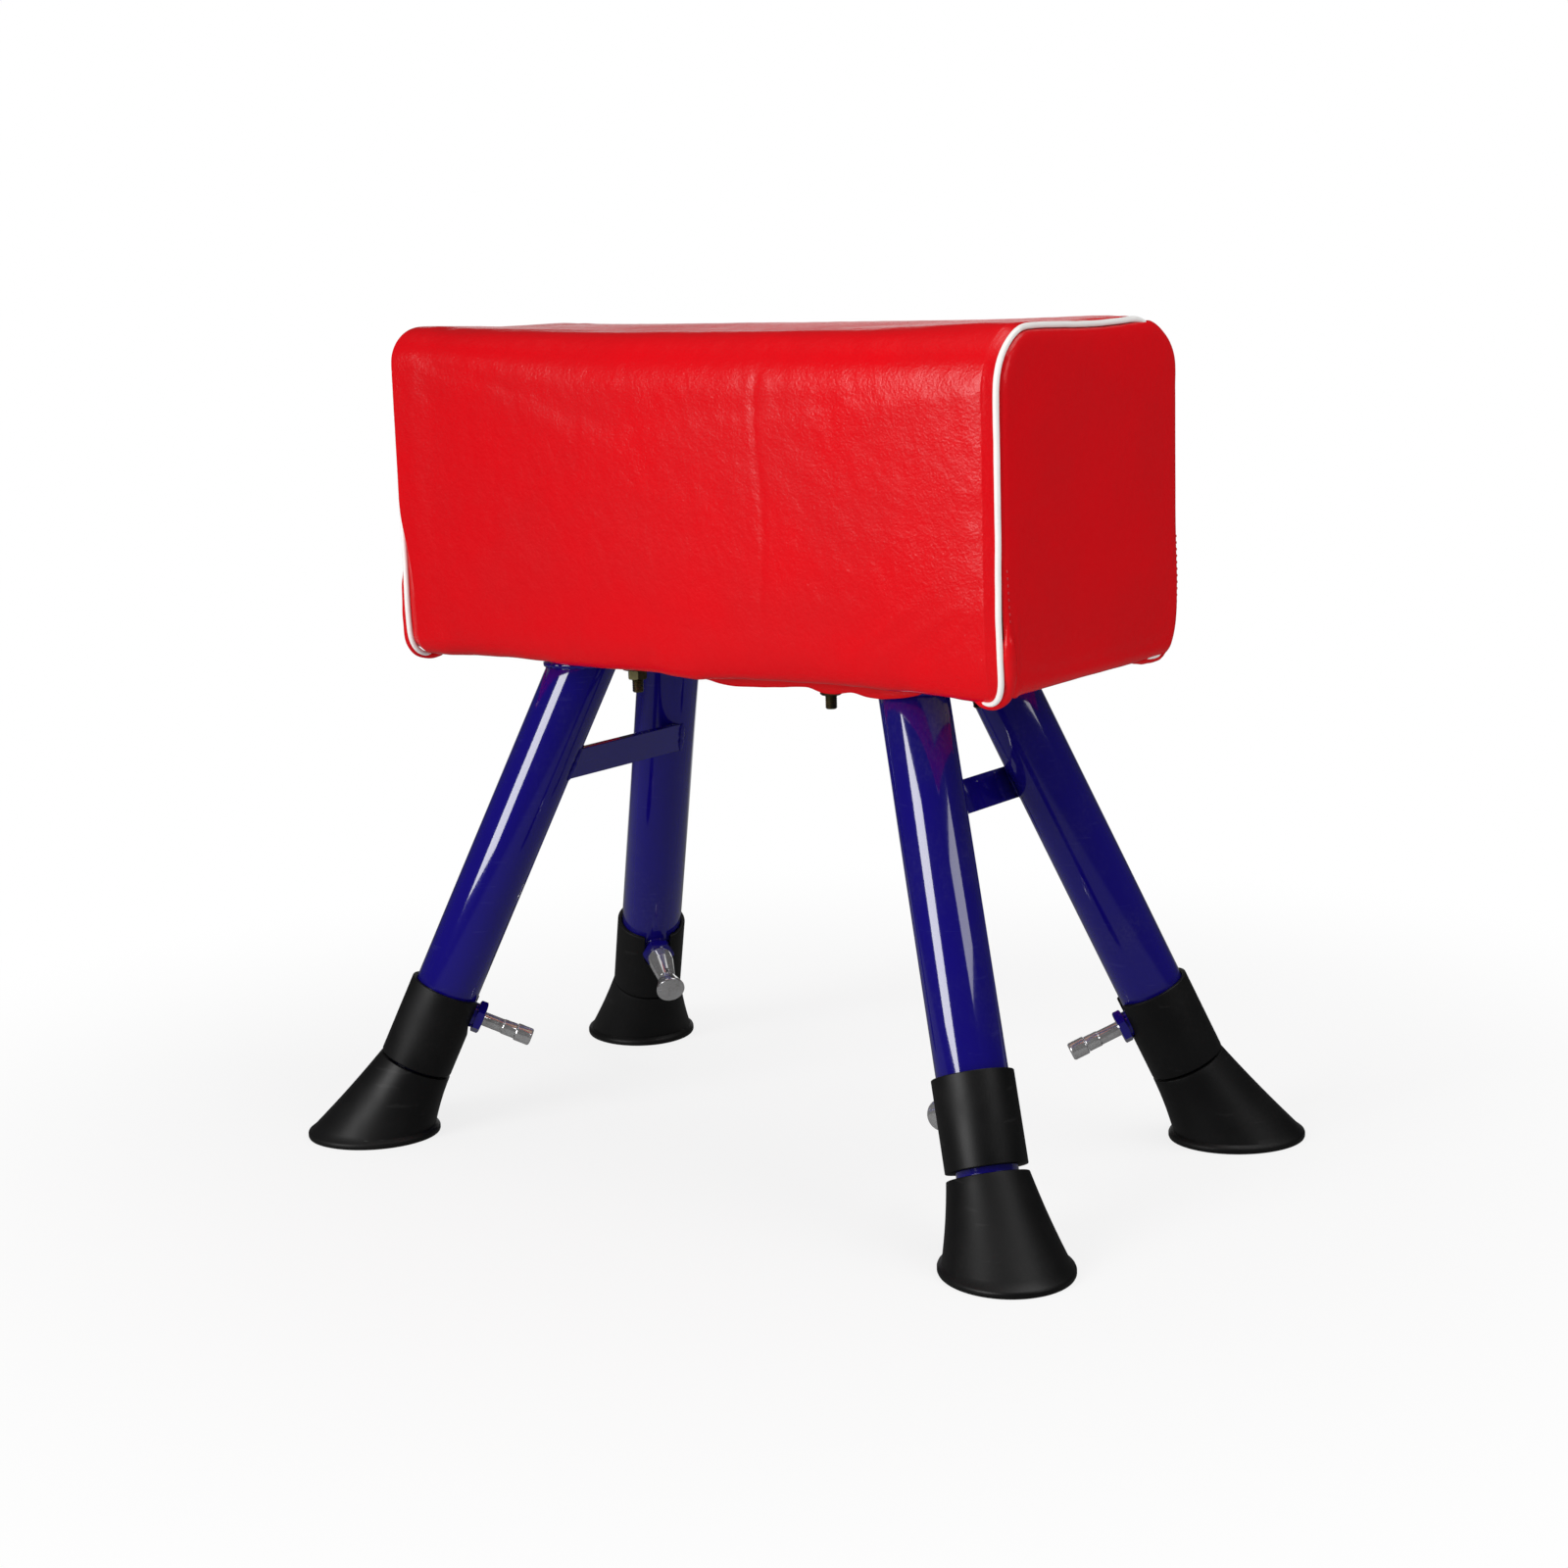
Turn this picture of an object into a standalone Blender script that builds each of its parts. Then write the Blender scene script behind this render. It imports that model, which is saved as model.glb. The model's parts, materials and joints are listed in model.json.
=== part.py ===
"""Gymnastics vaulting buck: a leather-covered body on four splayed telescopic legs.

Metres, +Z up. X runs along the body, the front long side faces -Y, and the origin is on the
floor under the middle of the body. Each leg is modelled once in a frame of its own: Z up the
leg's axis from the floor, X across it towards the lock plunger, which points in and down.
"""

import math

import bmesh
import bpy
from mathutils import Matrix, Vector

# Clearances
GAP = 0.0003
RUN = 0.0004

# Upholstered body
BODY_LENGTH = 0.742
BODY_WIDTH = 0.350
BODY_TOP = 0.8655
BODY_HEIGHT = 0.3395
TOP_ROUND_ACROSS = {"front": 0.0545, "back": 0.076}
TOP_ROUND_DOWN = {"front": 0.0575, "back": 0.057}
LOW_ROUND_ACROSS = 0.025
LOW_ROUND_UP = 0.045
SIDE_DRAW_IN = 0.003
SIDE_DRAW_RISE = 0.050
LEATHER = 0.002
END_CROWN = 0.0075
CROWN_CLEARANCE = 0.0008
PIPING_DIAMETER = 0.006
PIPING_SUNK = 0.0005
END_HEM = 0.058

# Wooden core and foam
BOARD = 0.018
BASE_BOARD = 0.005
TOP_FOAM = 0.040
SIDE_FOAM = 0.026
END_FOAM = 0.026
FOAM_EDGE_RISE = 0.008

# Leg carriage
LEG_FROM_END = 0.1608
LEG_FROM_SIDE = 0.1006
LEG_RUN_X = 0.3612
LEG_RUN_Y = 0.2925
PLATE_THICKNESS = 0.006
PLATE_INBOARD = 0.1107
PLATE_OUTBOARD = 0.0595
PLATE_BESIDE = 0.0391
PLATE_CORNER = 0.012
PLATE_END_CORNER = 0.070
HEM_CLEARANCE = 0.006
BOLT_DIAMETER = 0.012
BOLT_HOLE_PLAY = 0.001
BOLT_END = 0.014
BOLT_HEAD_DIAMETER = 0.030
BOLT_HEAD_HEIGHT = 0.006
BOLT_HEAD_DOME = 0.7
CORNER_BOLT_IN = 0.0862
CORNER_BOLT_BESIDE = 0.0164
MIDDLE_BOLT_OUT = 0.0443
MIDDLE_BOLT_APART = 0.044
NUT_FLATS = 0.019
NUT_HEIGHT = 0.010
WASHER_DIAMETER = 0.030
WASHER_THICKNESS = 0.0025
BRACE_HEIGHT = 0.035
BRACE_THICKNESS = 0.0055
BRACE_INSET = 0.0015
BRACE_BELOW_PLATE = {"left": 0.1107, "right": 0.1237}

# Telescopic leg, distances up the leg from the floor
OUTER_TUBE_DIAMETER = 0.070
OUTER_TUBE_WALL = 0.004
OUTER_TUBE_LOW = 0.0985
INNER_TUBE_DIAMETER = 0.060
INNER_TUBE_WALL = 0.003
INNER_TUBE_LOW = 0.0263
HEADROOM = 0.005
HEIGHT_STEP = 0.050
HEIGHT_SETTINGS = 7
GUIDE_FLANGE = 0.008
GUIDE_SPIGOT = 0.020

# Rubber foot and collar
FOOT_TOP = 0.0855
FOOT_TOP_DIAMETER = 0.0805
FOOT_LONG = 0.1445
FOOT_WIDE = 0.1285
FOOT_OUTWARD = 0.0132
FOOT_FLANGE = 0.0045
FOOT_FLANGE_HEIGHT = 0.009
FOOT_TALLER = {"back_right": 0.0075}
COLLAR_ABOVE_FOOT = 0.0025
COLLAR_LENGTH = 0.090
COLLAR_WALL = 0.0047
COLLAR_LIP = 0.0027
COLLAR_PUSHED_UP = {"front_right": 0.004}
NOTCH_PLAY = 0.00175
NOTCH_RISE = 0.064
EDGE_ROUND = 0.0010

# Lock plunger, distances out from the leg's axis
LOCK_RISE = 0.160
PIN_DIAMETER = 0.010
PIN_SHOULDER = 0.0008
PIN_HOLE_PLAY = 0.001
PIN_REACH = 0.007
PIN_FLANGE = 0.0025
PIN_FLANGE_SUNK = 0.005
PIN_CHAMFER = 0.0015
STEM_DIAMETER = 0.006
SPRING_DIAMETER = PIN_DIAMETER + 2 * PIN_SHOULDER
SPRING_WIRE = 0.0010
SPRING_TURNS = 5
CHAMBER_DIAMETER = SPRING_DIAMETER + 2 * RUN
THREAD_WALL = 0.0028
THREAD_CLEAR = 0.001
BARREL_THREAD_DIAMETER = CHAMBER_DIAMETER + 2 * THREAD_WALL
BARREL_NOTCH_WIDTH = 0.004
BARREL_NOTCH_DEPTH = 0.006
BARREL_END_WALL = 0.0075
BOSS_WALL = 0.005
BOSS_LEDGE = 0.002
BOSS_HEAD = 0.009
BOSS_CHAMFER = 0.001
BOSS_NECK_DIAMETER = BARREL_THREAD_DIAMETER + 2 * BOSS_WALL
BOSS_FLATS = BOSS_NECK_DIAMETER + 2 * BOSS_LEDGE
BOSS_TURN = {"back_left": math.radians(30)}

# Two kinds of plunger are fitted. A barrel's outline is (diameter, distance from the boss),
# and a knob's outline is (diameter, distance from the barrel), both from the inner end out
SLIM_WALL = 0.00155
SLIM_RING = 0.0013
SLIM_LENGTH = 0.0375
SLIM_RING_LENGTH = 0.014
SLIM_BODY_DIAMETER = CHAMBER_DIAMETER + 2 * SLIM_WALL
SLIM_RING_DIAMETER = SLIM_BODY_DIAMETER + SLIM_RING
SLIM_BARREL = [
    (SLIM_BODY_DIAMETER, 0),
    (SLIM_BODY_DIAMETER, SLIM_LENGTH - SLIM_RING_LENGTH - SLIM_RING),
    (SLIM_RING_DIAMETER, SLIM_LENGTH - SLIM_RING_LENGTH),
    (SLIM_RING_DIAMETER, SLIM_LENGTH),
]
SLIM_KNOB = [(0.0170, 0), (0.0195, 0.0010), (0.0195, 0.0170), (0.0165, 0.0185)]
FLARED_BARREL = [(0.0250, 0), (0.0285, 0.0020), (0.0285, 0.0130), (0.0200, 0.0420)]
FLARED_KNOB = [(0.0205, 0), (0.0305, 0.0150), (0.0330, 0.0180), (0.0330, 0.0205), (0.0305, 0.0215)]
FLARED_LEGS = ("front_right", "back_left")

# Facets
TUBE_SIDES = 28
SMALL_SIDES = 16
HOLE_SIDES = 12
CORNER_STEPS = 5
SPRING_STEPS = 8

# Heights that follow from the driving sizes
BODY_BOTTOM = BODY_TOP - BODY_HEIGHT
BOARD_BOTTOM = BODY_BOTTOM + LEATHER + GAP
BASE_TOP = BOARD_BOTTOM - GAP
PLATE_TOP = BASE_TOP - BASE_BOARD - GAP
PLATE_BOTTOM = PLATE_TOP - PLATE_THICKNESS
LEG_TOP_X = BODY_LENGTH / 2 - LEG_FROM_END
LEG_TOP_Y = BODY_WIDTH / 2 - LEG_FROM_SIDE
LEG_FOOT_X = LEG_TOP_X + LEG_RUN_X * PLATE_BOTTOM
LEG_FOOT_Y = LEG_TOP_Y + LEG_RUN_Y * PLATE_BOTTOM
PLATE_HALF_WIDTH = LEG_TOP_Y + PLATE_BESIDE
HEM_EDGE = PLATE_HALF_WIDTH + HEM_CLEARANCE

# The leg's lean and the lengths along it
LEAN = math.atan(math.hypot(LEG_RUN_X, LEG_RUN_Y))
OUTER_RADIUS = OUTER_TUBE_DIAMETER / 2
OUTER_BORE = OUTER_RADIUS - OUTER_TUBE_WALL
INNER_RADIUS = INNER_TUBE_DIAMETER / 2
INNER_BORE = INNER_RADIUS - INNER_TUBE_WALL
HOLE_PITCH = HEIGHT_STEP / math.cos(LEAN)
GUIDE_TOP = (PLATE_BOTTOM - GAP - OUTER_BORE * math.sin(LEAN)) / math.cos(LEAN) - HEADROOM
INNER_TUBE_TOP = GUIDE_TOP - GUIDE_FLANGE - GAP

# The plunger's stations out from the leg's axis
COLLAR_RADIUS = OUTER_RADIUS + GAP + COLLAR_WALL
BOSS_FACE = COLLAR_RADIUS + GAP + BOSS_HEAD
BARREL_IN = OUTER_RADIUS + THREAD_CLEAR
PIN_TIP = INNER_BORE - PIN_REACH
FLANGE_IN = BOSS_FACE - PIN_FLANGE_SUNK
CHAMBER_IN = FLANGE_IN - GAP
CHAMBER_OUT = BOSS_FACE + SLIM_LENGTH - BARREL_END_WALL

LEGS = {
    "front_right": (1, -1),
    "front_left": (-1, -1),
    "back_left": (-1, 1),
    "back_right": (1, 1),
}
SIDES = {"left": -1, "right": 1}


# Scene, collections and materials


def clear_scene():
    """Remove every object of the start-up scene."""
    for obj in list(bpy.data.objects):
        bpy.data.objects.remove(obj, do_unlink=True)


def new_collection(name):
    collection = bpy.data.collections.new(name)
    bpy.context.scene.collection.children.link(collection)
    return collection


def new_material(name, colour, roughness, metallic=0.0):
    material = bpy.data.materials.new(name)
    material.use_nodes = True
    shader = material.node_tree.nodes["Principled BSDF"]
    shader.inputs["Base Color"].default_value = (*colour, 1.0)
    shader.inputs["Roughness"].default_value = roughness
    shader.inputs["Metallic"].default_value = metallic
    return material


clear_scene()
PARTS = new_collection("vaulting_buck")
CUTTERS = new_collection("vaulting_buck_cutters")
LEATHER_RED = new_material("red_leather", (0.72, 0.004, 0.010), 0.42)
PIPING_WHITE = new_material("white_piping", (0.86, 0.84, 0.78), 0.45)
FOAM = new_material("foam", (0.80, 0.72, 0.50), 0.95)
PLYWOOD = new_material("plywood", (0.60, 0.42, 0.25), 0.70)
BLUE_PAINT = new_material("blue_paint", (0.012, 0.010, 0.200), 0.18)
RUBBER = new_material("black_rubber", (0.012, 0.012, 0.013), 0.50)
NYLON = new_material("nylon", (0.75, 0.74, 0.70), 0.50)
CHROME = new_material("chrome", (0.80, 0.80, 0.82), 0.12, 1.0)
ZINC = new_material("zinc_steel", (0.36, 0.34, 0.26), 0.40, 1.0)
SPRING_STEEL = new_material("spring_steel", (0.45, 0.45, 0.46), 0.30, 1.0)


# Object helpers


def add_object(name, mesh, material, matrix=None, parent=None, collection=None):
    """Link a new object that holds the mesh, placed by a matrix in its parent's frame."""
    obj = bpy.data.objects.new(name, mesh)
    (collection or PARTS).objects.link(obj)
    if material and not mesh.materials:
        mesh.materials.append(material)
    if parent:
        obj.parent = parent
    if matrix:
        obj.matrix_local = matrix
    return obj


def add_cutter(name, bm, matrix=None):
    """Turn a bmesh into a hidden wire cutter."""
    mesh = bpy.data.meshes.new(name)
    bm.to_mesh(mesh)
    bm.free()
    cutter = add_object(name, mesh, None, matrix, collection=CUTTERS)
    cutter.hide_render = True
    cutter.display_type = "WIRE"
    return cutter


def add_boolean(obj, cutter, operation="DIFFERENCE"):
    modifier = obj.modifiers.new(cutter.name, "BOOLEAN")
    modifier.solver = "EXACT"
    modifier.operation = operation
    modifier.object = cutter


def to_mesh(name, bm, smooth_angle=math.radians(35)):
    """Write a bmesh to a mesh whose round faces are shaded smooth."""
    bm.normal_update()
    bmesh.ops.recalc_face_normals(bm, faces=bm.faces)
    mesh = bpy.data.meshes.new(name)
    bm.to_mesh(mesh)
    bm.free()
    mesh.shade_smooth()
    mesh.set_sharp_from_angle(angle=smooth_angle)
    return mesh


def bake_shape(obj, used_cutters=()):
    """Evaluate a pattern object with its modifiers, then remove it and its cutters."""
    bpy.context.view_layer.update()
    graph = bpy.context.evaluated_depsgraph_get()
    mesh = bpy.data.meshes.new_from_object(obj.evaluated_get(graph))
    for old in (obj, *used_cutters):
        bpy.data.objects.remove(old, do_unlink=True)
    bm = bmesh.new()
    bm.from_mesh(mesh)
    bmesh.ops.remove_doubles(bm, verts=bm.verts, dist=0.000001)
    bm.to_mesh(mesh)
    bm.free()
    mesh.shade_smooth()
    mesh.set_sharp_from_angle(angle=math.radians(35))
    return mesh


def cylinder(radius, low, high, sides, matrix=None):
    """A closed cylinder between two heights on its own Z axis."""
    bm = bmesh.new()
    middle = Matrix.Translation((0, 0, (low + high) / 2))
    bmesh.ops.create_cone(
        bm,
        cap_ends=True,
        segments=sides,
        radius1=radius,
        radius2=radius,
        depth=high - low,
        matrix=(matrix or Matrix()) @ middle,
    )
    return bm


def box(size, centre, matrix=None):
    bm = bmesh.new()
    place = Matrix.Translation(centre) @ Matrix.Diagonal((*size, 1))
    bmesh.ops.create_cube(bm, size=1, matrix=(matrix or Matrix()) @ place)
    return bm


def round_edges(bm, edges, radius, steps=2):
    bmesh.ops.bevel(
        bm,
        geom=edges,
        offset=radius,
        offset_type="OFFSET",
        segments=steps,
        profile=0.5,
        affect="EDGES",
        material=-1,
    )


def turned(name, profile, sides, closed=True):
    """A turned piece: a profile of (radius, height) pairs with a Screw modifier.

    The profile runs down the outer side. A closed profile is a ring about the axis, and an open
    one starts and ends on the axis.
    """
    bm = bmesh.new()
    points = [bm.verts.new((radius, 0, height)) for radius, height in profile]
    for start, end in zip(points, points[1:]):
        bm.edges.new((start, end))
    if closed:
        bm.edges.new((points[-1], points[0]))
    mesh = bpy.data.meshes.new(name)
    bm.to_mesh(mesh)
    bm.free()
    obj = add_object(name, mesh, None, collection=CUTTERS)
    screw = obj.modifiers.new("turn", "SCREW")
    screw.steps = sides
    screw.render_steps = sides
    screw.use_merge_vertices = True
    screw.merge_threshold = 0.00001
    return obj


def hexagon(flats, low, high, chamfer, matrix=None):
    """A six-sided prism with corners at +-X of its own frame and its outer rim chamfered."""
    bm = cylinder(flats / math.sqrt(3), low, high, 6)
    bmesh.ops.rotate(bm, verts=bm.verts, matrix=Matrix.Rotation(math.radians(30), 3, "Z"))
    rim = [e for e in bm.edges if all(abs(v.co.z - high) < 1e-6 for v in e.verts)]
    round_edges(bm, rim, chamfer, steps=1)
    if matrix:
        bmesh.ops.transform(bm, matrix=matrix, verts=bm.verts)
    return bm


# Leg frames


def leg_matrix(sign_x, sign_y):
    """The frame of one leg: Z up its axis, X towards its plunger, origin on the floor."""
    up = Vector((-sign_x * LEG_RUN_X, -sign_y * LEG_RUN_Y, 1)).normalized()
    outward = Vector((sign_x * LEG_RUN_X, sign_y * LEG_RUN_Y, 0)).normalized()
    towards = -(outward - up * outward.dot(up)).normalized()
    side = up.cross(towards)
    matrix = Matrix((towards, side, up)).transposed().to_4x4()
    matrix.translation = (sign_x * LEG_FOOT_X, sign_y * LEG_FOOT_Y, 0)
    return matrix


def along_for_height(across, height):
    """Distance up the leg at which a point, this far across towards the plunger, is so high."""
    return (height + across * math.sin(LEAN)) / math.cos(LEAN)


# The plunger's frame inside a leg's frame: Z out along the plunger, from the leg's axis
PLUNGER = Matrix.Translation((0, 0, LOCK_RISE)) @ Matrix.Rotation(math.pi / 2, 4, "Y")
# A frame on the floor inside a leg's frame: X inward, Z truly upward
FLOOR = Matrix.Rotation(-LEAN, 4, "Y")


# Upholstered body


def quarter(centre, half_axes, start, steps):
    """Points of a quarter of an ellipse, from a start angle, counter-clockwise."""
    turns = (start + math.pi / 2 * step / steps for step in range(steps + 1))
    return [
        (centre[0] + half_axes[0] * math.cos(turn), centre[1] + half_axes[1] * math.sin(turn))
        for turn in turns
    ]


def section_side(edge, inset, steps, hem_edge):
    """One side of the body's cross-section as (y, z) points, drawn on +Y, from below to above."""
    half = BODY_WIDTH / 2
    low_half = half - SIDE_DRAW_IN
    low_centre = (low_half - LOW_ROUND_ACROSS, BODY_BOTTOM + LOW_ROUND_UP)
    top_centre = (half - TOP_ROUND_ACROSS[edge], BODY_TOP - TOP_ROUND_DOWN[edge])
    low_axes = (LOW_ROUND_ACROSS - inset, LOW_ROUND_UP - inset)
    top_axes = (TOP_ROUND_ACROSS[edge] - inset, TOP_ROUND_DOWN[edge] - inset)
    points = [] if hem_edge is None else [(hem_edge, BODY_BOTTOM + inset)]
    points += quarter(low_centre, low_axes, -math.pi / 2, steps)
    points += [(half - inset, low_centre[1] + SIDE_DRAW_RISE)]
    return points + quarter(top_centre, top_axes, 0, steps)


def body_section(inset, steps, hem_edge=None):
    """The body's cross-section as (y, z) points, from under the +Y edge round to under -Y."""
    back = section_side("back", inset, steps, hem_edge)
    front = section_side("front", inset, steps, hem_edge)
    return back + [(-y, z) for y, z in reversed(front)]


def section_strip(name, points, half_length):
    """An open strip: the section drawn out along X."""
    bm = bmesh.new()
    row = [bm.verts.new((-half_length, y, z)) for y, z in points]
    edges = [bm.edges.new(pair) for pair in zip(row, row[1:])]
    made = bmesh.ops.extrude_edge_only(bm, edges=edges)["geom"]
    ends = [item for item in made if isinstance(item, bmesh.types.BMVert)]
    bmesh.ops.translate(bm, verts=ends, vec=(2 * half_length, 0, 0))
    bmesh.ops.recalc_face_normals(bm, faces=bm.faces)
    top = max(bm.faces, key=lambda face: face.calc_center_median().z)
    if top.normal.z < 0:
        bmesh.ops.reverse_faces(bm, faces=bm.faces)
    mesh = bpy.data.meshes.new(name)
    bm.to_mesh(mesh)
    bm.free()
    mesh.shade_smooth()
    mesh.set_sharp_from_angle(angle=math.radians(35))
    return mesh


def crown_face(bm, face, rise, centre_z):
    """Crown a flat end face outward in three shrinking steps."""
    scale_before = 1.0
    height_before = 0.0
    for scale in (0.86, 0.62, 0.30):
        height = rise * (1 - scale**2.5)
        face = bmesh.ops.extrude_discrete_faces(bm, faces=[face])["faces"][0]
        step = scale / scale_before
        for vert in face.verts:
            vert.co.y *= step
            vert.co.z = centre_z + (vert.co.z - centre_z) * step
            vert.co.x += height - height_before
        scale_before = scale
        height_before = height


def piping_centre_x():
    return BODY_LENGTH / 2


def make_leather_wrap():
    half_length = piping_centre_x() - PIPING_DIAMETER / 2 - GAP
    mesh = section_strip("leather_wrap", body_section(0, CORNER_STEPS, HEM_EDGE), half_length)
    wrap = add_object("leather_wrap", mesh, LEATHER_RED)
    shell = wrap.modifiers.new("leather", "SOLIDIFY")
    shell.thickness = LEATHER
    shell.offset = -1
    shell.use_even_offset = True


def make_piping(side, sign):
    """The welt cord round one end, from under one edge to under the other."""
    inset = PIPING_DIAMETER / 2 + PIPING_SUNK
    curve = bpy.data.curves.new("piping_" + side, "CURVE")
    curve.dimensions = "3D"
    curve.bevel_depth = PIPING_DIAMETER / 2
    curve.bevel_resolution = 2
    curve.use_fill_caps = True
    points = body_section(inset, CORNER_STEPS, HEM_EDGE)
    spline = curve.splines.new("POLY")
    spline.points.add(len(points) - 1)
    for point, (y, z) in zip(spline.points, points):
        point.co = (sign * piping_centre_x(), y, z, 1)
    piping = add_object("piping_" + side, curve, PIPING_WHITE)
    return piping


def end_outline(inset):
    return body_section(inset, CORNER_STEPS)


def make_leather_end(side, sign):
    """One crowned end panel, with the hem that is turned under the bottom board."""
    inset = PIPING_DIAMETER + PIPING_SUNK + GAP
    face_x = piping_centre_x()
    bm = bmesh.new()
    outline = [bm.verts.new((face_x, y, z)) for y, z in end_outline(inset)]
    face = bm.faces.new(outline)
    face.normal_update()
    if face.normal.x < 0:
        bmesh.ops.reverse_faces(bm, faces=[face])
    crown_face(bm, face, END_CROWN, BODY_BOTTOM + BODY_HEIGHT / 2)
    for vert in bm.verts:
        vert.co.x *= sign
    if sign < 0:
        bmesh.ops.reverse_faces(bm, faces=bm.faces)
    mesh = bpy.data.meshes.new("leather_end_" + side)
    bm.to_mesh(mesh)
    bm.free()
    mesh.shade_smooth()
    panel = add_object("leather_end_" + side, mesh, LEATHER_RED)
    shell = panel.modifiers.new("leather", "SOLIDIFY")
    shell.thickness = LEATHER
    shell.offset = -1
    turn = 2 * inset
    hem_half = HEM_EDGE - PIPING_DIAMETER / 2 - GAP
    upright = box(
        (LEATHER, 2 * hem_half, turn),
        (sign * (face_x - LEATHER / 2), 0, BODY_BOTTOM + turn / 2),
    )
    under = box(
        (END_HEM, 2 * hem_half, LEATHER),
        (sign * (face_x - END_HEM / 2), 0, BODY_BOTTOM + LEATHER / 2),
    )
    add_boolean(panel, add_cutter("end_turn_" + side, upright), "UNION")
    add_boolean(panel, add_cutter("end_hem_" + side, under), "UNION")


def core_half_length():
    return BODY_LENGTH / 2 - LEATHER - END_FOAM - 2 * GAP


def core_half_width():
    return BODY_WIDTH / 2 - LEATHER - SIDE_FOAM - 2 * GAP


def core_top():
    return BODY_TOP - LEATHER - TOP_FOAM - 2 * GAP


def make_foam():
    """The foam over the box's sides and top, and a crowned pad on each end."""
    low = BOARD_BOTTOM + FOAM_EDGE_RISE
    inset = LEATHER + GAP
    outer = [(y, z) for y, z in body_section(inset, CORNER_STEPS) if z >= low]
    inner_y = core_half_width() + GAP
    inner_top = core_top() + GAP
    inner = [(-inner_y, low), (-inner_y, inner_top), (inner_y, inner_top), (inner_y, low)]
    edge_y = outer[0][0]
    loop = [(edge_y - SIDE_DRAW_IN, low)] + outer + [(SIDE_DRAW_IN - edge_y, low)] + inner
    bm = bmesh.new()
    face = bm.faces.new([bm.verts.new((-core_half_length(), y, z)) for y, z in loop])
    made = bmesh.ops.extrude_face_region(bm, geom=[face])["geom"]
    moved = [item for item in made if isinstance(item, bmesh.types.BMVert)]
    bmesh.ops.translate(bm, verts=moved, vec=(2 * core_half_length(), 0, 0))
    add_object("foam_wrap", to_mesh("foam_wrap", bm), FOAM)
    for side, sign in SIDES.items():
        bm = bmesh.new()
        back_x = core_half_length() + GAP
        front_x = BODY_LENGTH / 2 - LEATHER - CROWN_CLEARANCE
        reach = PIPING_DIAMETER + PIPING_SUNK + LEATHER + GAP
        outline = [bm.verts.new((back_x, y, z)) for y, z in end_outline(reach)]
        back = bm.faces.new(outline)
        made = bmesh.ops.extrude_face_region(bm, geom=[back])["geom"]
        front = next(item for item in made if isinstance(item, bmesh.types.BMFace))
        moved = [item for item in made if isinstance(item, bmesh.types.BMVert)]
        bmesh.ops.translate(bm, verts=moved, vec=(front_x - back_x, 0, 0))
        crown_face(bm, front, END_CROWN, BODY_BOTTOM + BODY_HEIGHT / 2)
        for vert in bm.verts:
            vert.co.x *= sign
        name = "foam_end_" + side
        add_object(name, to_mesh(name, bm), FOAM)


def box_object(name, size, centre, material):
    """A plain board or plate, with its origin at its centre."""
    obj = add_object(name, to_mesh(name, box(size, (0, 0, 0))), material)
    obj.location = centre
    return obj


def make_core():
    """A glued plywood frame closed by a top and a bottom board, and the base board below."""
    half_x = core_half_length()
    half_y = core_half_width()
    top = core_top()
    lid_size = (2 * half_x, 2 * half_y, BOARD)
    frame_low = BOARD_BOTTOM + BOARD + GAP
    frame_high = top - BOARD - GAP
    frame_size = (2 * half_x, 2 * half_y, frame_high - frame_low)
    frame_centre = (0, 0, (frame_low + frame_high) / 2)
    frame = box_object("core_frame", frame_size, frame_centre, PLYWOOD)
    inside_size = (2 * (half_x - BOARD), 2 * (half_y - BOARD), frame_high - frame_low + 0.01)
    add_boolean(frame, add_cutter("core_inside", box(inside_size, frame_centre)))
    box_object("core_top_board", lid_size, (0, 0, top - BOARD / 2), PLYWOOD)
    bottom_centre = (0, 0, BOARD_BOTTOM + BOARD / 2)
    bottom = box_object("core_bottom_board", lid_size, bottom_centre, PLYWOOD)
    drill_bolt_holes(bottom, BOARD_BOTTOM, BOARD_BOTTOM + BOARD)
    base_size = (2 * (LEG_TOP_X + PLATE_OUTBOARD), 2 * PLATE_HALF_WIDTH, BASE_BOARD)
    base = box_object("base_board", base_size, (0, 0, BASE_TOP - BASE_BOARD / 2), PLYWOOD)
    drill_bolt_holes(base, BASE_TOP - BASE_BOARD, BASE_TOP)


# Leg carriage


def bolt_places():
    """The four bolts of each leg plate: two inboard corners and two between the legs."""
    places = {}
    for side, sign in SIDES.items():
        for edge, across in {"front": -1, "back": 1}.items():
            corner = (LEG_TOP_X - CORNER_BOLT_IN, LEG_TOP_Y + CORNER_BOLT_BESIDE)
            middle = (LEG_TOP_X + MIDDLE_BOLT_OUT, MIDDLE_BOLT_APART / 2)
            places[f"{side}_{edge}_corner"] = (sign * corner[0], across * corner[1])
            places[f"{side}_{edge}_middle"] = (sign * middle[0], across * middle[1])
    return places


def append_bmesh(target, source):
    """Add one bmesh to another as separate bodies."""
    mesh = bpy.data.meshes.new("joined")
    source.to_mesh(mesh)
    source.free()
    target.from_mesh(mesh)
    bpy.data.meshes.remove(mesh)


def drill_bolt_holes(obj, low, high):
    """Cut the leg plates' bolt holes, with play, through a board or plate."""
    radius = (BOLT_DIAMETER + BOLT_HOLE_PLAY) / 2
    drill = bmesh.new()
    for x, y in bolt_places().values():
        hole = cylinder(radius, low - 0.002, high + 0.002, HOLE_SIDES)
        bmesh.ops.translate(hole, verts=hole.verts, vec=(x, y, 0))
        append_bmesh(drill, hole)
    add_boolean(obj, add_cutter("bolt_holes_" + obj.name, drill))


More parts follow.
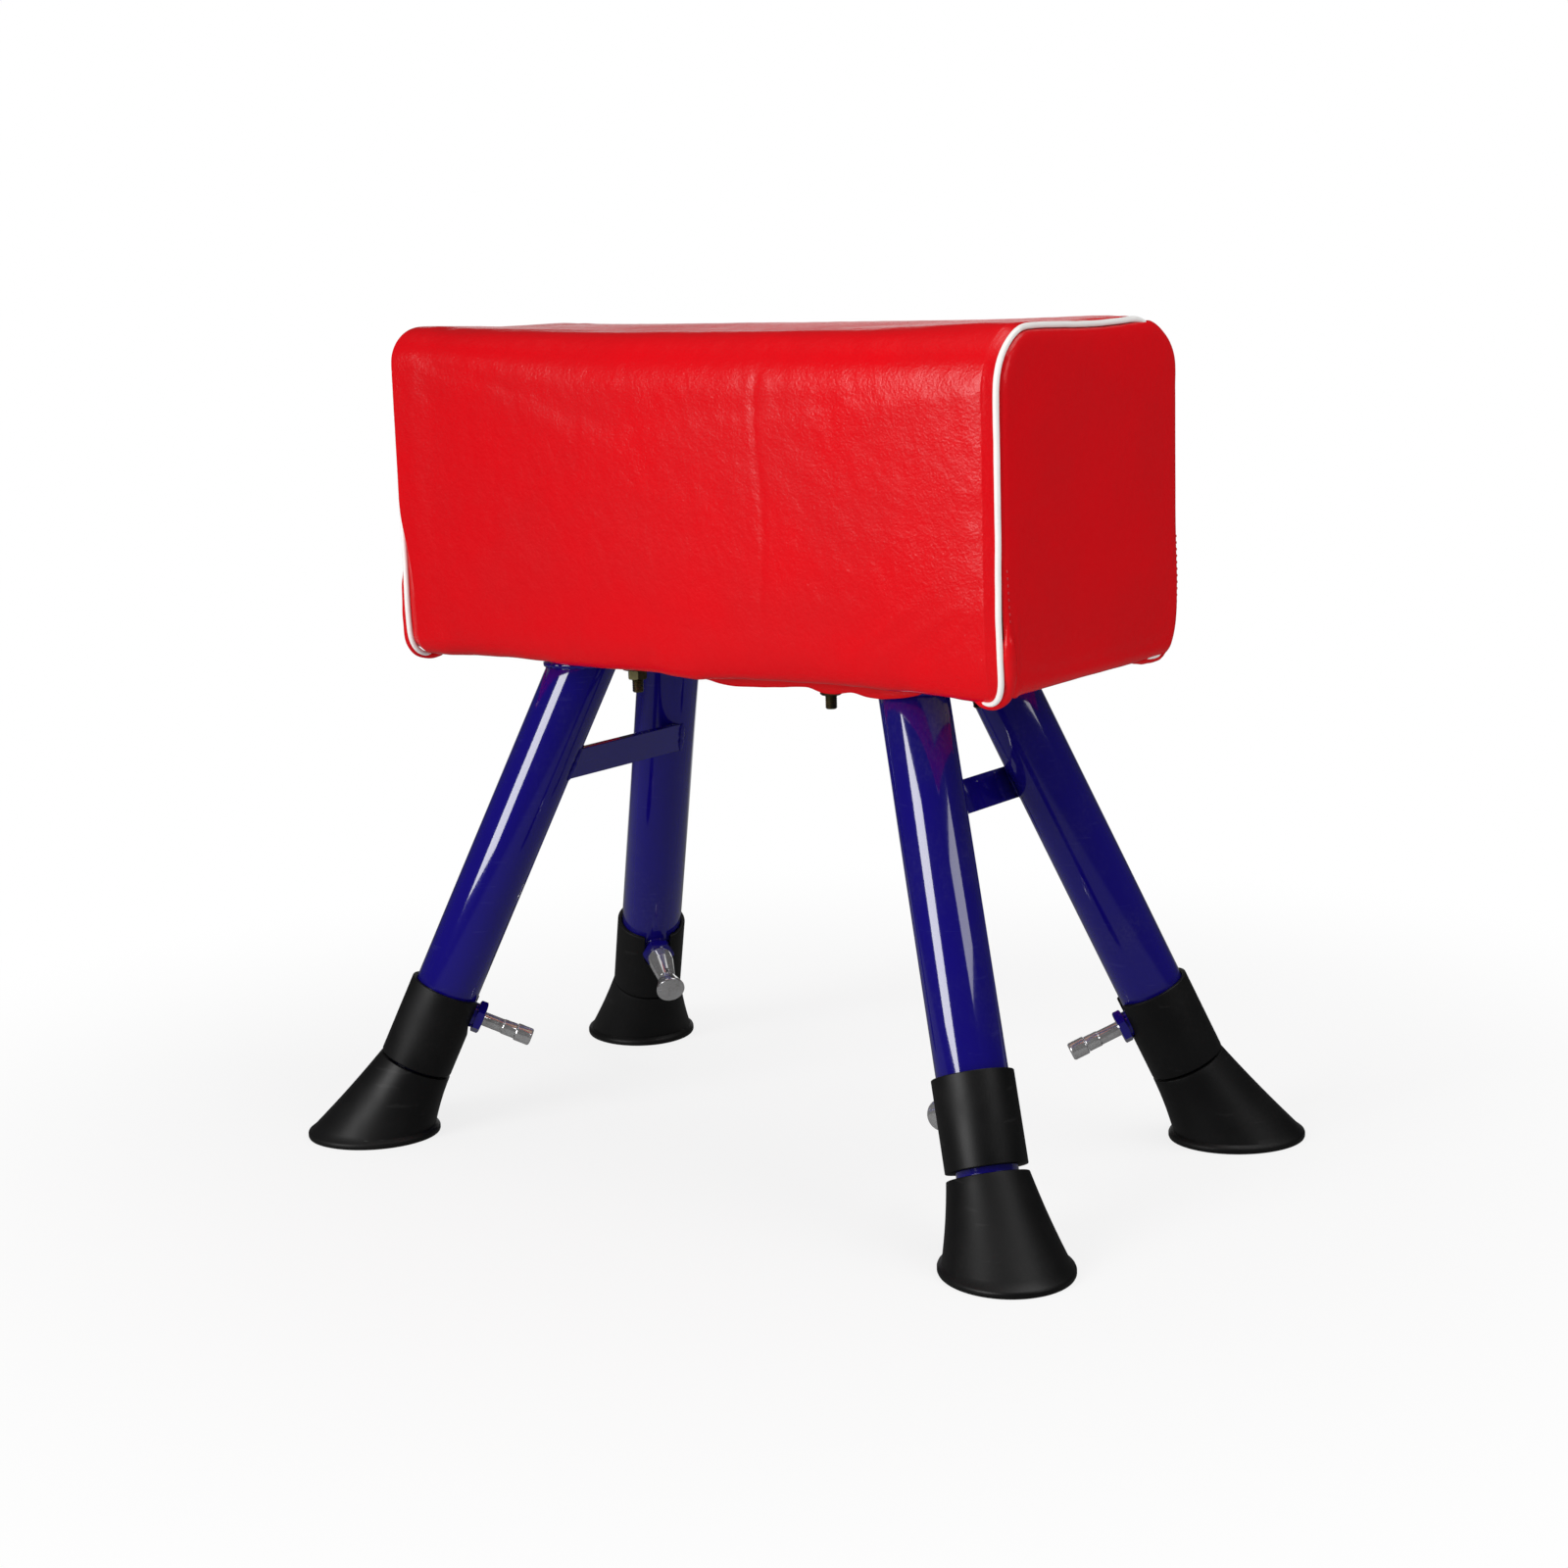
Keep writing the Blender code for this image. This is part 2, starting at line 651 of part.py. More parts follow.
def make_leg_plate(side, sign):
    """The steel plate that a pair of legs is welded to."""
    inner_x = LEG_TOP_X - PLATE_INBOARD
    outer_x = LEG_TOP_X + PLATE_OUTBOARD
    bm = box((outer_x - inner_x, 2 * PLATE_HALF_WIDTH, PLATE_THICKNESS), (0, 0, 0))
    upright = [e for e in bm.edges if e.verts[0].co.xy == e.verts[1].co.xy]
    outboard = [e for e in upright if e.verts[0].co.x * sign > 0]
    inboard = [e for e in upright if e.verts[0].co.x * sign < 0]
    round_edges(bm, outboard, PLATE_END_CORNER, steps=8)
    round_edges(bm, [e for e in inboard if e.is_valid], PLATE_CORNER, steps=4)
    plate = add_object("leg_plate_" + side, to_mesh("leg_plate_" + side, bm), BLUE_PAINT)
    plate.location = (sign * (inner_x + outer_x) / 2, 0, PLATE_BOTTOM + PLATE_THICKNESS / 2)
    drill_bolt_holes(plate, PLATE_BOTTOM, PLATE_TOP)


def bolt_shape():
    """A carriage bolt down from the bottom board, in one with its washer and hexagon nut."""
    seat = BOARD_BOTTOM + BOARD + GAP
    washer_top = PLATE_BOTTOM - GAP
    nut_top = washer_top - WASHER_THICKNESS
    nut_low = nut_top - NUT_HEIGHT
    tip = nut_low - BOLT_END
    shank = BOLT_DIAMETER / 2
    head = BOLT_HEAD_DIAMETER / 2
    profile = [
        (0, seat + BOLT_HEAD_HEIGHT),
        (head * BOLT_HEAD_DOME, seat + BOLT_HEAD_HEIGHT * BOLT_HEAD_DOME),
        (head, seat),
        (shank, seat),
        (shank, washer_top),
        (WASHER_DIAMETER / 2, washer_top),
        (WASHER_DIAMETER / 2, nut_top),
        (shank, nut_top),
        (shank, tip + 0.001),
        (shank - 0.001, tip),
        (0, tip),
    ]
    bolt = turned("bolt", profile, HOLE_SIDES, closed=False)
    flip = Matrix.Translation((0, 0, nut_low + nut_top)) @ Matrix.Rotation(math.pi, 4, "X")
    overlap = WASHER_THICKNESS / 2
    blank = hexagon(NUT_FLATS, nut_low - overlap, nut_top, 0.001, flip)
    nut = add_cutter("nut", blank)
    add_boolean(bolt, nut, "UNION")
    return bake_shape(bolt, [nut])


def make_bolts():
    shape = bolt_shape()
    for place, (x, y) in bolt_places().items():
        add_object("plate_bolt_" + place, shape, ZINC, Matrix.Translation((x, y, 0)))


def make_brace(side, sign):
    """A flat bar on edge across the inboard sides of a pair of legs, coped to both tubes."""
    rise = PLATE_BOTTOM - BRACE_BELOW_PLATE[side]
    tilt = math.atan(LEG_RUN_X)
    axis_x = LEG_FOOT_X - LEG_RUN_X * rise
    axis_y = LEG_FOOT_Y - LEG_RUN_Y * rise
    from_axis = OUTER_RADIUS - BRACE_INSET - BRACE_THICKNESS / 2
    centre_x = axis_x - from_axis / math.cos(tilt)
    bm = box((BRACE_THICKNESS, 2 * axis_y, BRACE_HEIGHT), (0, 0, 0))
    brace = add_object("brace_" + side, to_mesh("brace_" + side, bm), BLUE_PAINT)
    brace.location = (sign * centre_x, 0, rise)
    brace.rotation_euler = (0, -sign * tilt, 0)
    for across in (-1, 1):
        body = cylinder(OUTER_RADIUS + GAP, LOCK_RISE, along_for_height(0, PLATE_TOP), TUBE_SIDES)
        cutter = add_cutter("cope_" + side, body, leg_matrix(sign, across))
        add_boolean(brace, cutter)


# Patterns of the leg's pieces, each in the leg's own frame


def ring(name, outer, inner, low, high, sides):
    profile = [(outer, high), (outer, low), (inner, low), (inner, high)]
    return turned(name, profile, sides)


def outer_tube_shape():
    tube = bake_shape(ring("tube", OUTER_RADIUS, OUTER_BORE, OUTER_TUBE_LOW, PLATE_TOP, TUBE_SIDES))
    for vert in tube.vertices:
        if vert.co.z > (OUTER_TUBE_LOW + PLATE_TOP) / 2:
            vert.co.z = along_for_height(vert.co.x, PLATE_BOTTOM - GAP)
    tube_object = add_object("tube", tube, None, collection=CUTTERS)
    radius = PIN_DIAMETER / 2 + PIN_HOLE_PLAY
    drill = add_cutter("pin_hole", cylinder(radius, 0, BOSS_FACE, HOLE_SIDES, PLUNGER))
    add_boolean(tube_object, drill)
    return bake_shape(tube_object, [drill])


def inner_tube_shape():
    tube = ring("tube", INNER_RADIUS, INNER_BORE, INNER_TUBE_LOW, INNER_TUBE_TOP, TUBE_SIDES)
    radius = (PIN_DIAMETER + PIN_HOLE_PLAY) / 2
    drill = bmesh.new()
    for setting in range(HEIGHT_SETTINGS):
        hole = cylinder(radius, 0, OUTER_RADIUS, HOLE_SIDES, PLUNGER)
        bmesh.ops.translate(hole, verts=hole.verts, vec=(0, 0, setting * HOLE_PITCH))
        append_bmesh(drill, hole)
    holes = add_cutter("hole_row", drill)
    add_boolean(tube, holes)
    return bake_shape(tube, [holes])


def guide_bush_shape():
    """A plastic plug: a flange that runs in the outer tube, on a spigot in the inner tube."""
    flange_low = INNER_TUBE_TOP + GAP
    profile = [
        (0, GUIDE_TOP),
        (OUTER_BORE - RUN, GUIDE_TOP),
        (OUTER_BORE - RUN, flange_low),
        (INNER_BORE - GAP, flange_low),
        (INNER_BORE - GAP, flange_low - GUIDE_SPIGOT),
        (0, flange_low - GUIDE_SPIGOT),
    ]
    return bake_shape(turned("bush", profile, TUBE_SIDES, closed=False))


def foot_shape(top):
    """An oblique rubber boot: round at the tube, oval on the floor, with a thin floor flange."""
    bm = bmesh.new()
    centre_x = -FOOT_OUTWARD
    rings = [
        (FOOT_LONG / 2, FOOT_WIDE / 2, 0),
        (FOOT_LONG / 2, FOOT_WIDE / 2, FOOT_FLANGE_HEIGHT * 0.75),
        (FOOT_LONG / 2 - FOOT_FLANGE, FOOT_WIDE / 2 - FOOT_FLANGE, FOOT_FLANGE_HEIGHT),
    ]
    loops = []
    for long_half, wide_half, height in rings:
        place = FLOOR @ Matrix.Translation((centre_x, 0, height))
        loops.append(oval_loop(bm, long_half, wide_half, place))
    rim = FOOT_TOP_DIAMETER / 2
    loops.append(oval_loop(bm, rim, rim, Matrix.Translation((0, 0, top - EDGE_ROUND))))
    inner = rim - EDGE_ROUND
    loops.append(oval_loop(bm, inner, inner, Matrix.Translation((0, 0, top))))
    for low, high in zip(loops, loops[1:]):
        bmesh.ops.bridge_loops(bm, edges=low + high)
    for loop in (loops[0], loops[-1]):
        bmesh.ops.contextual_create(bm, geom=loop)
    foot = add_object("foot", to_mesh("foot", bm), None, collection=CUTTERS)
    low = INNER_TUBE_LOW - GAP
    socket = cylinder(INNER_RADIUS + GAP, low, top + 0.01, TUBE_SIDES)
    bore = add_cutter("socket", socket)
    add_boolean(foot, bore)
    return bake_shape(foot, [bore])


def oval_loop(bm, half_x, half_y, matrix):
    """One closed ring of edges, an ellipse placed by a matrix."""
    made = bmesh.ops.create_circle(bm, segments=TUBE_SIDES, radius=1)
    stretch = matrix @ Matrix.Diagonal((half_x, half_y, 1, 1))
    bmesh.ops.transform(bm, matrix=stretch, verts=made["verts"])
    return list({edge for vert in made["verts"] for edge in vert.link_edges})


def collar_shape():
    """A rubber sleeve over the tube's end, notched from its upper edge for the lock boss."""
    outer = COLLAR_RADIUS
    bore = OUTER_RADIUS + GAP
    lip = INNER_RADIUS + RUN
    profile = [
        (outer - EDGE_ROUND, COLLAR_LENGTH),
        (outer, COLLAR_LENGTH - EDGE_ROUND),
        (outer, EDGE_ROUND),
        (outer - EDGE_ROUND, 0),
        (lip, 0),
        (lip, COLLAR_LIP),
        (bore, COLLAR_LIP),
        (bore, COLLAR_LENGTH),
    ]
    collar = turned("collar", profile, TUBE_SIDES)
    radius = BOSS_NECK_DIAMETER / 2 + NOTCH_PLAY
    place = Matrix.Translation((0, 0, NOTCH_RISE)) @ Matrix.Rotation(math.pi / 2, 4, "Y")
    round_end = cylinder(radius, 0, 2 * outer, TUBE_SIDES, place)
    height = COLLAR_LENGTH - NOTCH_RISE + 0.01
    slot = box((2 * outer, 2 * radius, height), (outer, 0, NOTCH_RISE + height / 2))
    cutters = [add_cutter("notch_round", round_end), add_cutter("notch_slot", slot)]
    for cutter in cutters:
        add_boolean(collar, cutter)
    return bake_shape(collar, cutters)


def boss_shape(turn):
    """A threaded boss with a hexagonal head, turned so far, its neck coped to the outer tube."""
    neck_in = OUTER_RADIUS * 0.8
    neck_out = BOSS_FACE - BOSS_HEAD / 2
    place = PLUNGER @ Matrix.Rotation(turn, 4, "Z")
    head = hexagon(BOSS_FLATS, BOSS_FACE - BOSS_HEAD, BOSS_FACE, BOSS_CHAMFER, place)
    boss = add_object("boss", to_mesh("boss", head), None, collection=CUTTERS)
    neck = cylinder(BOSS_NECK_DIAMETER / 2, neck_in, neck_out, SMALL_SIDES, PLUNGER)
    bore_radius = BARREL_THREAD_DIAMETER / 2 + GAP
    bore = cylinder(bore_radius, 0, BOSS_FACE + 0.01, SMALL_SIDES, PLUNGER)
    tube = cylinder(OUTER_RADIUS + GAP, 0, 2 * LOCK_RISE, TUBE_SIDES)
    cutters = [
        add_cutter("boss_neck", neck),
        add_cutter("boss_bore", bore),
        add_cutter("boss_saddle", tube),
    ]
    for cutter, operation in zip(cutters, ("UNION", "DIFFERENCE", "DIFFERENCE")):
        add_boolean(boss, cutter, operation)
    return bake_shape(boss, cutters)


# Patterns of the plunger's pieces, each in the plunger's own frame


def barrel_shape(outline):
    """The plunger's housing: a threaded end in the boss, then the outline, with a notched rim."""
    out = BOSS_FACE + outline[-1][1]
    profile = [(diameter / 2, BOSS_FACE + GAP + along) for diameter, along in reversed(outline)]
    profile += [
        (BARREL_THREAD_DIAMETER / 2, BOSS_FACE + GAP),
        (BARREL_THREAD_DIAMETER / 2, BARREL_IN),
        (PIN_DIAMETER / 2 + RUN, BARREL_IN),
        (PIN_DIAMETER / 2 + RUN, CHAMBER_IN),
        (CHAMBER_DIAMETER / 2, CHAMBER_IN),
        (CHAMBER_DIAMETER / 2, CHAMBER_OUT),
        (STEM_DIAMETER / 2 + RUN, CHAMBER_OUT),
        (STEM_DIAMETER / 2 + RUN, out + GAP),
    ]
    barrel = turned("barrel", profile, SMALL_SIDES)
    size = (2 * outline[-1][0], BARREL_NOTCH_WIDTH, 2 * BARREL_NOTCH_DEPTH)
    notch = add_cutter("bayonet_notch", box(size, (0, 0, out)))
    add_boolean(barrel, notch)
    return bake_shape(barrel, [notch])


def pin_shape(barrel_outline, knob_outline):
    """The locking pin, its spring flange, the stem and the pull knob, all in one piece."""
    pin = PIN_DIAMETER / 2
    stem = STEM_DIAMETER / 2
    flange = SPRING_DIAMETER / 2
    knob_in = BOSS_FACE + barrel_outline[-1][1] + 2 * GAP
    profile = [(0, knob_in + knob_outline[-1][1])]
    profile += [(diameter / 2, knob_in + along) for diameter, along in reversed(knob_outline)]
    profile += [
        (stem, knob_in),
        (stem, FLANGE_IN + PIN_FLANGE),
        (flange, FLANGE_IN + PIN_FLANGE),
        (flange, FLANGE_IN),
        (pin, FLANGE_IN),
        (pin, PIN_TIP + PIN_CHAMFER),
        (pin - PIN_CHAMFER, PIN_TIP),
        (0, PIN_TIP),
    ]
    return bake_shape(turned("pin", profile, SMALL_SIDES, closed=False))


def spring_curve():
    """An open-ended compression spring round the stem, as a wire of even pitch."""
    low = FLANGE_IN + PIN_FLANGE + SPRING_WIRE / 2 + GAP
    high = CHAMBER_OUT - SPRING_WIRE / 2 - GAP
    radius = (SPRING_DIAMETER - SPRING_WIRE) / 2
    curve = bpy.data.curves.new("plunger_spring", "CURVE")
    curve.dimensions = "3D"
    curve.bevel_depth = SPRING_WIRE / 2
    curve.bevel_resolution = 0
    curve.use_fill_caps = True
    count = SPRING_TURNS * SPRING_STEPS
    spline = curve.splines.new("POLY")
    spline.points.add(count)
    for step, point in enumerate(spline.points):
        turn = 2 * math.pi * step / SPRING_STEPS
        height = low + (high - low) * step / count
        point.co = (radius * math.cos(turn), radius * math.sin(turn), height, 1)
    return curve


def make_legs():
    """Place the shared patterns of the leg's pieces on each of the four leg frames."""
    tube = outer_tube_shape()
    slide = inner_tube_shape()
    bush = guide_bush_shape()
    collar = collar_shape()
    spring = spring_curve()
    slim = (barrel_shape(SLIM_BARREL), pin_shape(SLIM_BARREL, SLIM_KNOB))
    flared = (barrel_shape(FLARED_BARREL), pin_shape(FLARED_BARREL, FLARED_KNOB))
    for leg, signs in LEGS.items():
        frame = bpy.data.objects.new("leg_frame_" + leg, None)
        PARTS.objects.link(frame)
        frame.matrix_world = leg_matrix(*signs)
        foot_top = FOOT_TOP + FOOT_TALLER.get(leg, 0)
        collar_low = foot_top + COLLAR_ABOVE_FOOT + COLLAR_PUSHED_UP.get(leg, 0)
        barrel, pin = flared if leg in FLARED_LEGS else slim
        pieces = {
            "outer_tube_": (tube, BLUE_PAINT, Matrix()),
            "lock_boss_": (boss_shape(BOSS_TURN.get(leg, 0)), BLUE_PAINT, Matrix()),
            "inner_tube_": (slide, BLUE_PAINT, Matrix()),
            "guide_bush_": (bush, NYLON, Matrix()),
            "rubber_foot_": (foot_shape(foot_top), RUBBER, Matrix()),
            "rubber_collar_": (collar, RUBBER, Matrix.Translation((0, 0, collar_low))),
            "plunger_barrel_": (barrel, CHROME, PLUNGER),
            "plunger_pin_": (pin, CHROME, PLUNGER),
            "plunger_spring_": (spring, SPRING_STEEL, PLUNGER),
        }
        for prefix, (shape, material, place) in pieces.items():
            add_object(prefix + leg, shape, material, place, frame)


def main():
    make_core()
    make_foam()
    make_leather_wrap()
    for side, sign in SIDES.items():
        make_leather_end(side, sign)
        make_piping(side, sign)
        make_leg_plate(side, sign)
        make_brace(side, sign)
    make_bolts()
    make_legs()


main()
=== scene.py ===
import json
import math

import bmesh
import bpy
from mathutils import Matrix, Vector, noise
from mathutils.bvhtree import BVHTree


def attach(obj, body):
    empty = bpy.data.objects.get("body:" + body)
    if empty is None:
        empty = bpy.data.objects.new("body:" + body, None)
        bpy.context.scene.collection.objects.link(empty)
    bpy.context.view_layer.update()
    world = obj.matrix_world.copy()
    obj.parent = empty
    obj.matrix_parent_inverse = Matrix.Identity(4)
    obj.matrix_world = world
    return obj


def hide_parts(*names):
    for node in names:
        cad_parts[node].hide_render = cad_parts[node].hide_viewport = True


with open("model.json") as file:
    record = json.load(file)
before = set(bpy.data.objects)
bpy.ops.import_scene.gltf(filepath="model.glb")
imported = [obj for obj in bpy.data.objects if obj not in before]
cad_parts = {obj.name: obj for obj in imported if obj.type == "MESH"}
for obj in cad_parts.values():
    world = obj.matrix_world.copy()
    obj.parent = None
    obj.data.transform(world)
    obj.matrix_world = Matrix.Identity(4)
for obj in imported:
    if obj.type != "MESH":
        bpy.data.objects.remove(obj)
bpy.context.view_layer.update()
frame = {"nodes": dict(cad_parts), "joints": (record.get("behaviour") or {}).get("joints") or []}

# Upholstered body, in metres
BODY_LENGTH = 0.742
BODY_WIDTH = 0.350
BODY_TOP = 0.8655
BODY_HEIGHT = 0.3395
BODY_BOTTOM = BODY_TOP - BODY_HEIGHT
TOP_ROUND_ACROSS = {"front": 0.0545, "back": 0.076}
TOP_ROUND_DOWN = {"front": 0.0575, "back": 0.057}
LOW_ROUND_ACROSS = 0.025
LOW_ROUND_UP = 0.045
SIDE_DRAW_IN = 0.003
SIDE_DRAW_RISE = 0.050
LEATHER = 0.002
PIPING_RADIUS = 0.003
PIPING_INSET = 0.0030
END_X = BODY_LENGTH / 2

# Leg carriage
PLATE_BOTTOM = 0.5167
LEG_TOP_X = 0.2102
LEG_TOP_Y = 0.0744
LEG_RUN_X = 0.3612
LEG_RUN_Y = 0.2925
LEG_FOOT_X = LEG_TOP_X + LEG_RUN_X * PLATE_BOTTOM
LEG_FOOT_Y = LEG_TOP_Y + LEG_RUN_Y * PLATE_BOTTOM
LEAN = math.atan(math.hypot(LEG_RUN_X, LEG_RUN_Y))
HEM_OUT = 0.1180
HEM_ROLL = 0.005
HEM_LOW = 0.5115
UNDERSIDE = BODY_BOTTOM + 0.0004
BOLT_RADIUS = 0.006
BOLT_SEAT = 0.5466
# The domed head's outline, (radius, height over its seat)
BOLT_HEAD = [(0, 0.006), (0.006, 0.0056), (0.011, 0.0038), (0.0145, 0.0012), (0.015, 0)]
BRACE_BELOW_PLATE = {"left": 0.1107, "right": 0.1237}
BRACE_HEIGHT = 0.035
BRACE_THICKNESS = 0.0055
BRACE_INSET = 0.0015

BOLT_END = 0.014
BOLT_HOLE_RADIUS = 0.0064
NUT_FLATS = 0.019
HEX_EASING = 0.0012
# How far the turned shape that eases a hexagon stands off its faces
HEX_SPARE = 0.0001
NUT_HEIGHT = 0.010
WASHER_RADIUS = 0.0151
WASHER_THICKNESS = 0.0025
CORNER_BOLT_IN = 0.0862
CORNER_BOLT_BESIDE = 0.0164
MIDDLE_BOLT_OUT = 0.0443
MIDDLE_BOLT_Y = 0.022

# Legs and their locks
OUTER_RADIUS = 0.035
OUTER_BORE = 0.031
OUTER_LOW = 0.0985
INNER_RADIUS = 0.030
INNER_BORE = 0.027
INNER_LOW = 0.0263
HEIGHT_STEP = 0.050
HEIGHT_SETTINGS = 7
HOLE_PITCH = HEIGHT_STEP / math.cos(LEAN)
HOLE_RADIUS = 0.0055
HEADROOM = 0.005
GUIDE_FLANGE = 0.008
FOOT_TOP = 0.0855
FOOT_TOP_RADIUS = 0.04025
FOOT_LONG = 0.1445
FOOT_WIDE = 0.1285
FOOT_OUTWARD = 0.0132
FOOT_FLANGE = 0.0045
FOOT_FLANGE_HEIGHT = 0.009
FOOT_TALLER = {"back_right": 0.0075}
COLLAR_ABOVE_FOOT = 0.0025
COLLAR_PUSHED_UP = {"front_right": 0.004}
COLLAR_RADIUS = 0.040
COLLAR_LENGTH = 0.090
COLLAR_LIP = 0.0027
NOTCH_RADIUS = 0.01575
NOTCH_RISE = 0.064
LOCK_RISE = 0.160
BOSS_FACE = 0.0493
BOSS_HEAD = 0.009
BOSS_NECK_RADIUS = 0.014
BOSS_FLATS = 0.032
BOSS_TURN = {"back_left": math.radians(30)}
FLARED_LEGS = ("front_right", "back_left")
PIN_RADIUS = 0.005
PIN_TIP = 0.020
PIN_CHAMFER = 0.0015
PIN_FLANGE = 0.0025
PIN_FLANGE_RADIUS = 0.0058
PIN_FLANGE_SUNK = 0.005
STEM_RADIUS = 0.003
BARREL_IN = 0.036
BARREL_BORE = 0.0054
THREAD_RADIUS = 0.009
CHAMBER_RADIUS = 0.0062
CHAMBER_LENGTH = 0.0300
STEM_BORE = 0.0034
BARREL_NOTCH_WIDTH = 0.004
BARREL_NOTCH_DEPTH = 0.006
GAP = 0.0003
# Points nearer than this are one point
MERGE = 2e-6

LEGS = {
    "front_right": (1, -1),
    "front_left": (-1, -1),
    "back_left": (-1, 1),
    "back_right": (1, 1),
}
SIDES = {"left": -1, "right": 1}
PLUNGER = Matrix.Translation((0, 0, LOCK_RISE)) @ Matrix.Rotation(math.pi / 2, 4, "Y")
FLOOR = Matrix.Rotation(-LEAN, 4, "Y")


# Small sums


def smooth(low, high, value):
    """0 at low, 1 at high, and an even curve between them, for low below or above high."""
    share = min(1.0, max(0.0, (value - low) / (high - low)))
    return share * share * (3 - 2 * share)


def along_curve(stations, value):
    """A smooth reading of (place, height) stations."""
    if value <= stations[0][0]:
        return stations[0][1]
    for (low, before), (high, after) in zip(stations, stations[1:]):
        if value <= high:
            return before + (after - before) * smooth(low, high, value)
    return stations[-1][1]


def leg_frame(leg):
    """Z up the leg's axis, X towards its plunger, origin on the floor."""
    axes = {joint["name"]: Vector(joint["axis"]) for joint in frame["joints"]}
    up = -axes["leg_extend_" + leg]
    towards = axes["plunger_pull_" + leg]
    matrix = Matrix((towards, up.cross(towards), up)).transposed().to_4x4()
    sign_x, sign_y = LEGS[leg]
    matrix.translation = (sign_x * LEG_FOOT_X, sign_y * LEG_FOOT_Y, 0)
    return matrix


def along_for_height(across, height):
    """How far up a leg's axis a point across it has a height."""
    return (height + across * math.sin(LEAN)) / math.cos(LEAN)


# Mesh tools


def surface(around, along, place):
    """A closed or open skin: a grid whose corners a function of two shares places."""
    bm = bmesh.new()
    bmesh.ops.create_grid(bm, x_segments=around, y_segments=along, size=0.5)
    for vert in bm.verts:
        vert.co = place(vert.co.x + 0.5, vert.co.y + 0.5)
    bmesh.ops.remove_doubles(bm, verts=bm.verts, dist=MERGE)
    bmesh.ops.recalc_face_normals(bm, faces=bm.faces)
    return bm


def filleted(points, radius, steps=3, closed=False):
    """Points of an outline whose corners are rounded by up to a radius."""
    rounded = []
    count = len(points)
    for index, point in enumerate(points):
        if not closed and index in (0, count - 1):
            rounded.append(point)
            continue
        here = Vector(point)
        before = Vector(points[index - 1]) - here
        after = Vector(points[(index + 1) % count]) - here
        reach = min(radius, 0.45 * before.length, 0.45 * after.length)
        start = here + before.normalized() * reach
        end = here + after.normalized() * reach
        for step in range(steps + 1):
            share = step / steps
            first = start.lerp(here, share)
            second = here.lerp(end, share)
            rounded.append(tuple(first.lerp(second, share)))
    return rounded


def turned(profile, sides, closed=False):
    """A profile of (radius, height) pairs turned about Z."""
    bm = bmesh.new()
    points = [bm.verts.new((radius, 0, height)) for radius, height in profile]
    edges = [bm.edges.new(pair) for pair in zip(points, points[1:])]
    if closed:
        edges.append(bm.edges.new((points[-1], points[0])))
    bmesh.ops.spin(
        bm,
        geom=points + edges,
        cent=(0, 0, 0),
        axis=(0, 0, 1),
        angle=2 * math.pi,
        steps=sides,
        use_merge=True,
    )
    bmesh.ops.remove_doubles(bm, verts=bm.verts, dist=MERGE)
    bmesh.ops.recalc_face_normals(bm, faces=bm.faces)
    return bm


def cylinder(radius, low, high, sides, place=Matrix()):
    """A closed cylinder between two heights."""
    bm = bmesh.new()
    bmesh.ops.create_cone(
        bm,
        cap_ends=True,
        segments=sides,
        radius1=radius,
        radius2=radius,
        depth=high - low,
        matrix=place @ Matrix.Translation((0, 0, (low + high) / 2)),
    )
    return bm


def block(size, centre, place=Matrix()):
    """A box of a size about its centre."""
    bm = bmesh.new()
    stretch = Matrix.Translation(centre) @ Matrix.Diagonal((*size, 1))
    bmesh.ops.create_cube(bm, size=1, matrix=place @ stretch)
    return bm


def joined(*parts):
    """Several meshes in one, as separate shells."""
    whole = bmesh.new()
    for part in parts:
        mesh = bpy.data.meshes.new("part")
        part.to_mesh(mesh)
        part.free()
        whole.from_mesh(mesh)
        bpy.data.meshes.remove(mesh)
    return whole


def shaped(bm, steps):
    """The mesh after Boolean steps: pairs of an operation and a cutter."""
    scratch = []
    for name, shape in [("blank", bm)] + [("cutter", cutter) for _, cutter in steps]:
        mesh = bpy.data.meshes.new(name)
        shape.to_mesh(mesh)
        shape.free()
        obj = bpy.data.objects.new(name, mesh)
        bpy.context.scene.collection.objects.link(obj)
        scratch.append(obj)
    blank = scratch[0]
    for (operation, _), cutter in zip(steps, scratch[1:]):
        cut = blank.modifiers.new("cut", "BOOLEAN")
        cut.solver = "EXACT"
        cut.operation = operation
        cut.object = cutter
    bpy.context.view_layer.update()
    graph = bpy.context.evaluated_depsgraph_get()
    mesh = bpy.data.meshes.new_from_object(blank.evaluated_get(graph))
    result = bmesh.new()
    result.from_mesh(mesh)
    bmesh.ops.remove_doubles(result, verts=result.verts, dist=MERGE)
    for obj in scratch:
        bpy.data.meshes.remove(obj.data)
    bpy.data.meshes.remove(mesh)
    return result


def bead(path, radius, ripple, seed, closed):
    """A weld bead along a path: round, rippled, and drawn out at open ends."""
    count = len(path) - (0 if closed else 1)

    def place(turn, share):
        index = round(share * count)
        here = path[index % len(path)]
        before = path[(index - 1) % len(path)] if closed or index > 0 else here
        after = path[(index + 1) % len(path)] if closed or index < count else here
        run = (after - before).normalized()
        side = run.cross(Vector((0.3, 0.2, 1))).normalized()
        lift = run.cross(side)
        size = radius * (1 + ripple * math.sin(index * 2.1 + seed))
        size *= 1 + 0.35 * noise.noise(here * 160 + Vector((seed, 0, 0)))
        if not closed:
            size *= max(0.02, math.sin(math.pi * share)) ** 0.35
        angle = 2 * math.pi * turn
        return here + (side * math.cos(angle) + lift * math.sin(angle)) * size

    return surface(8, count, place)


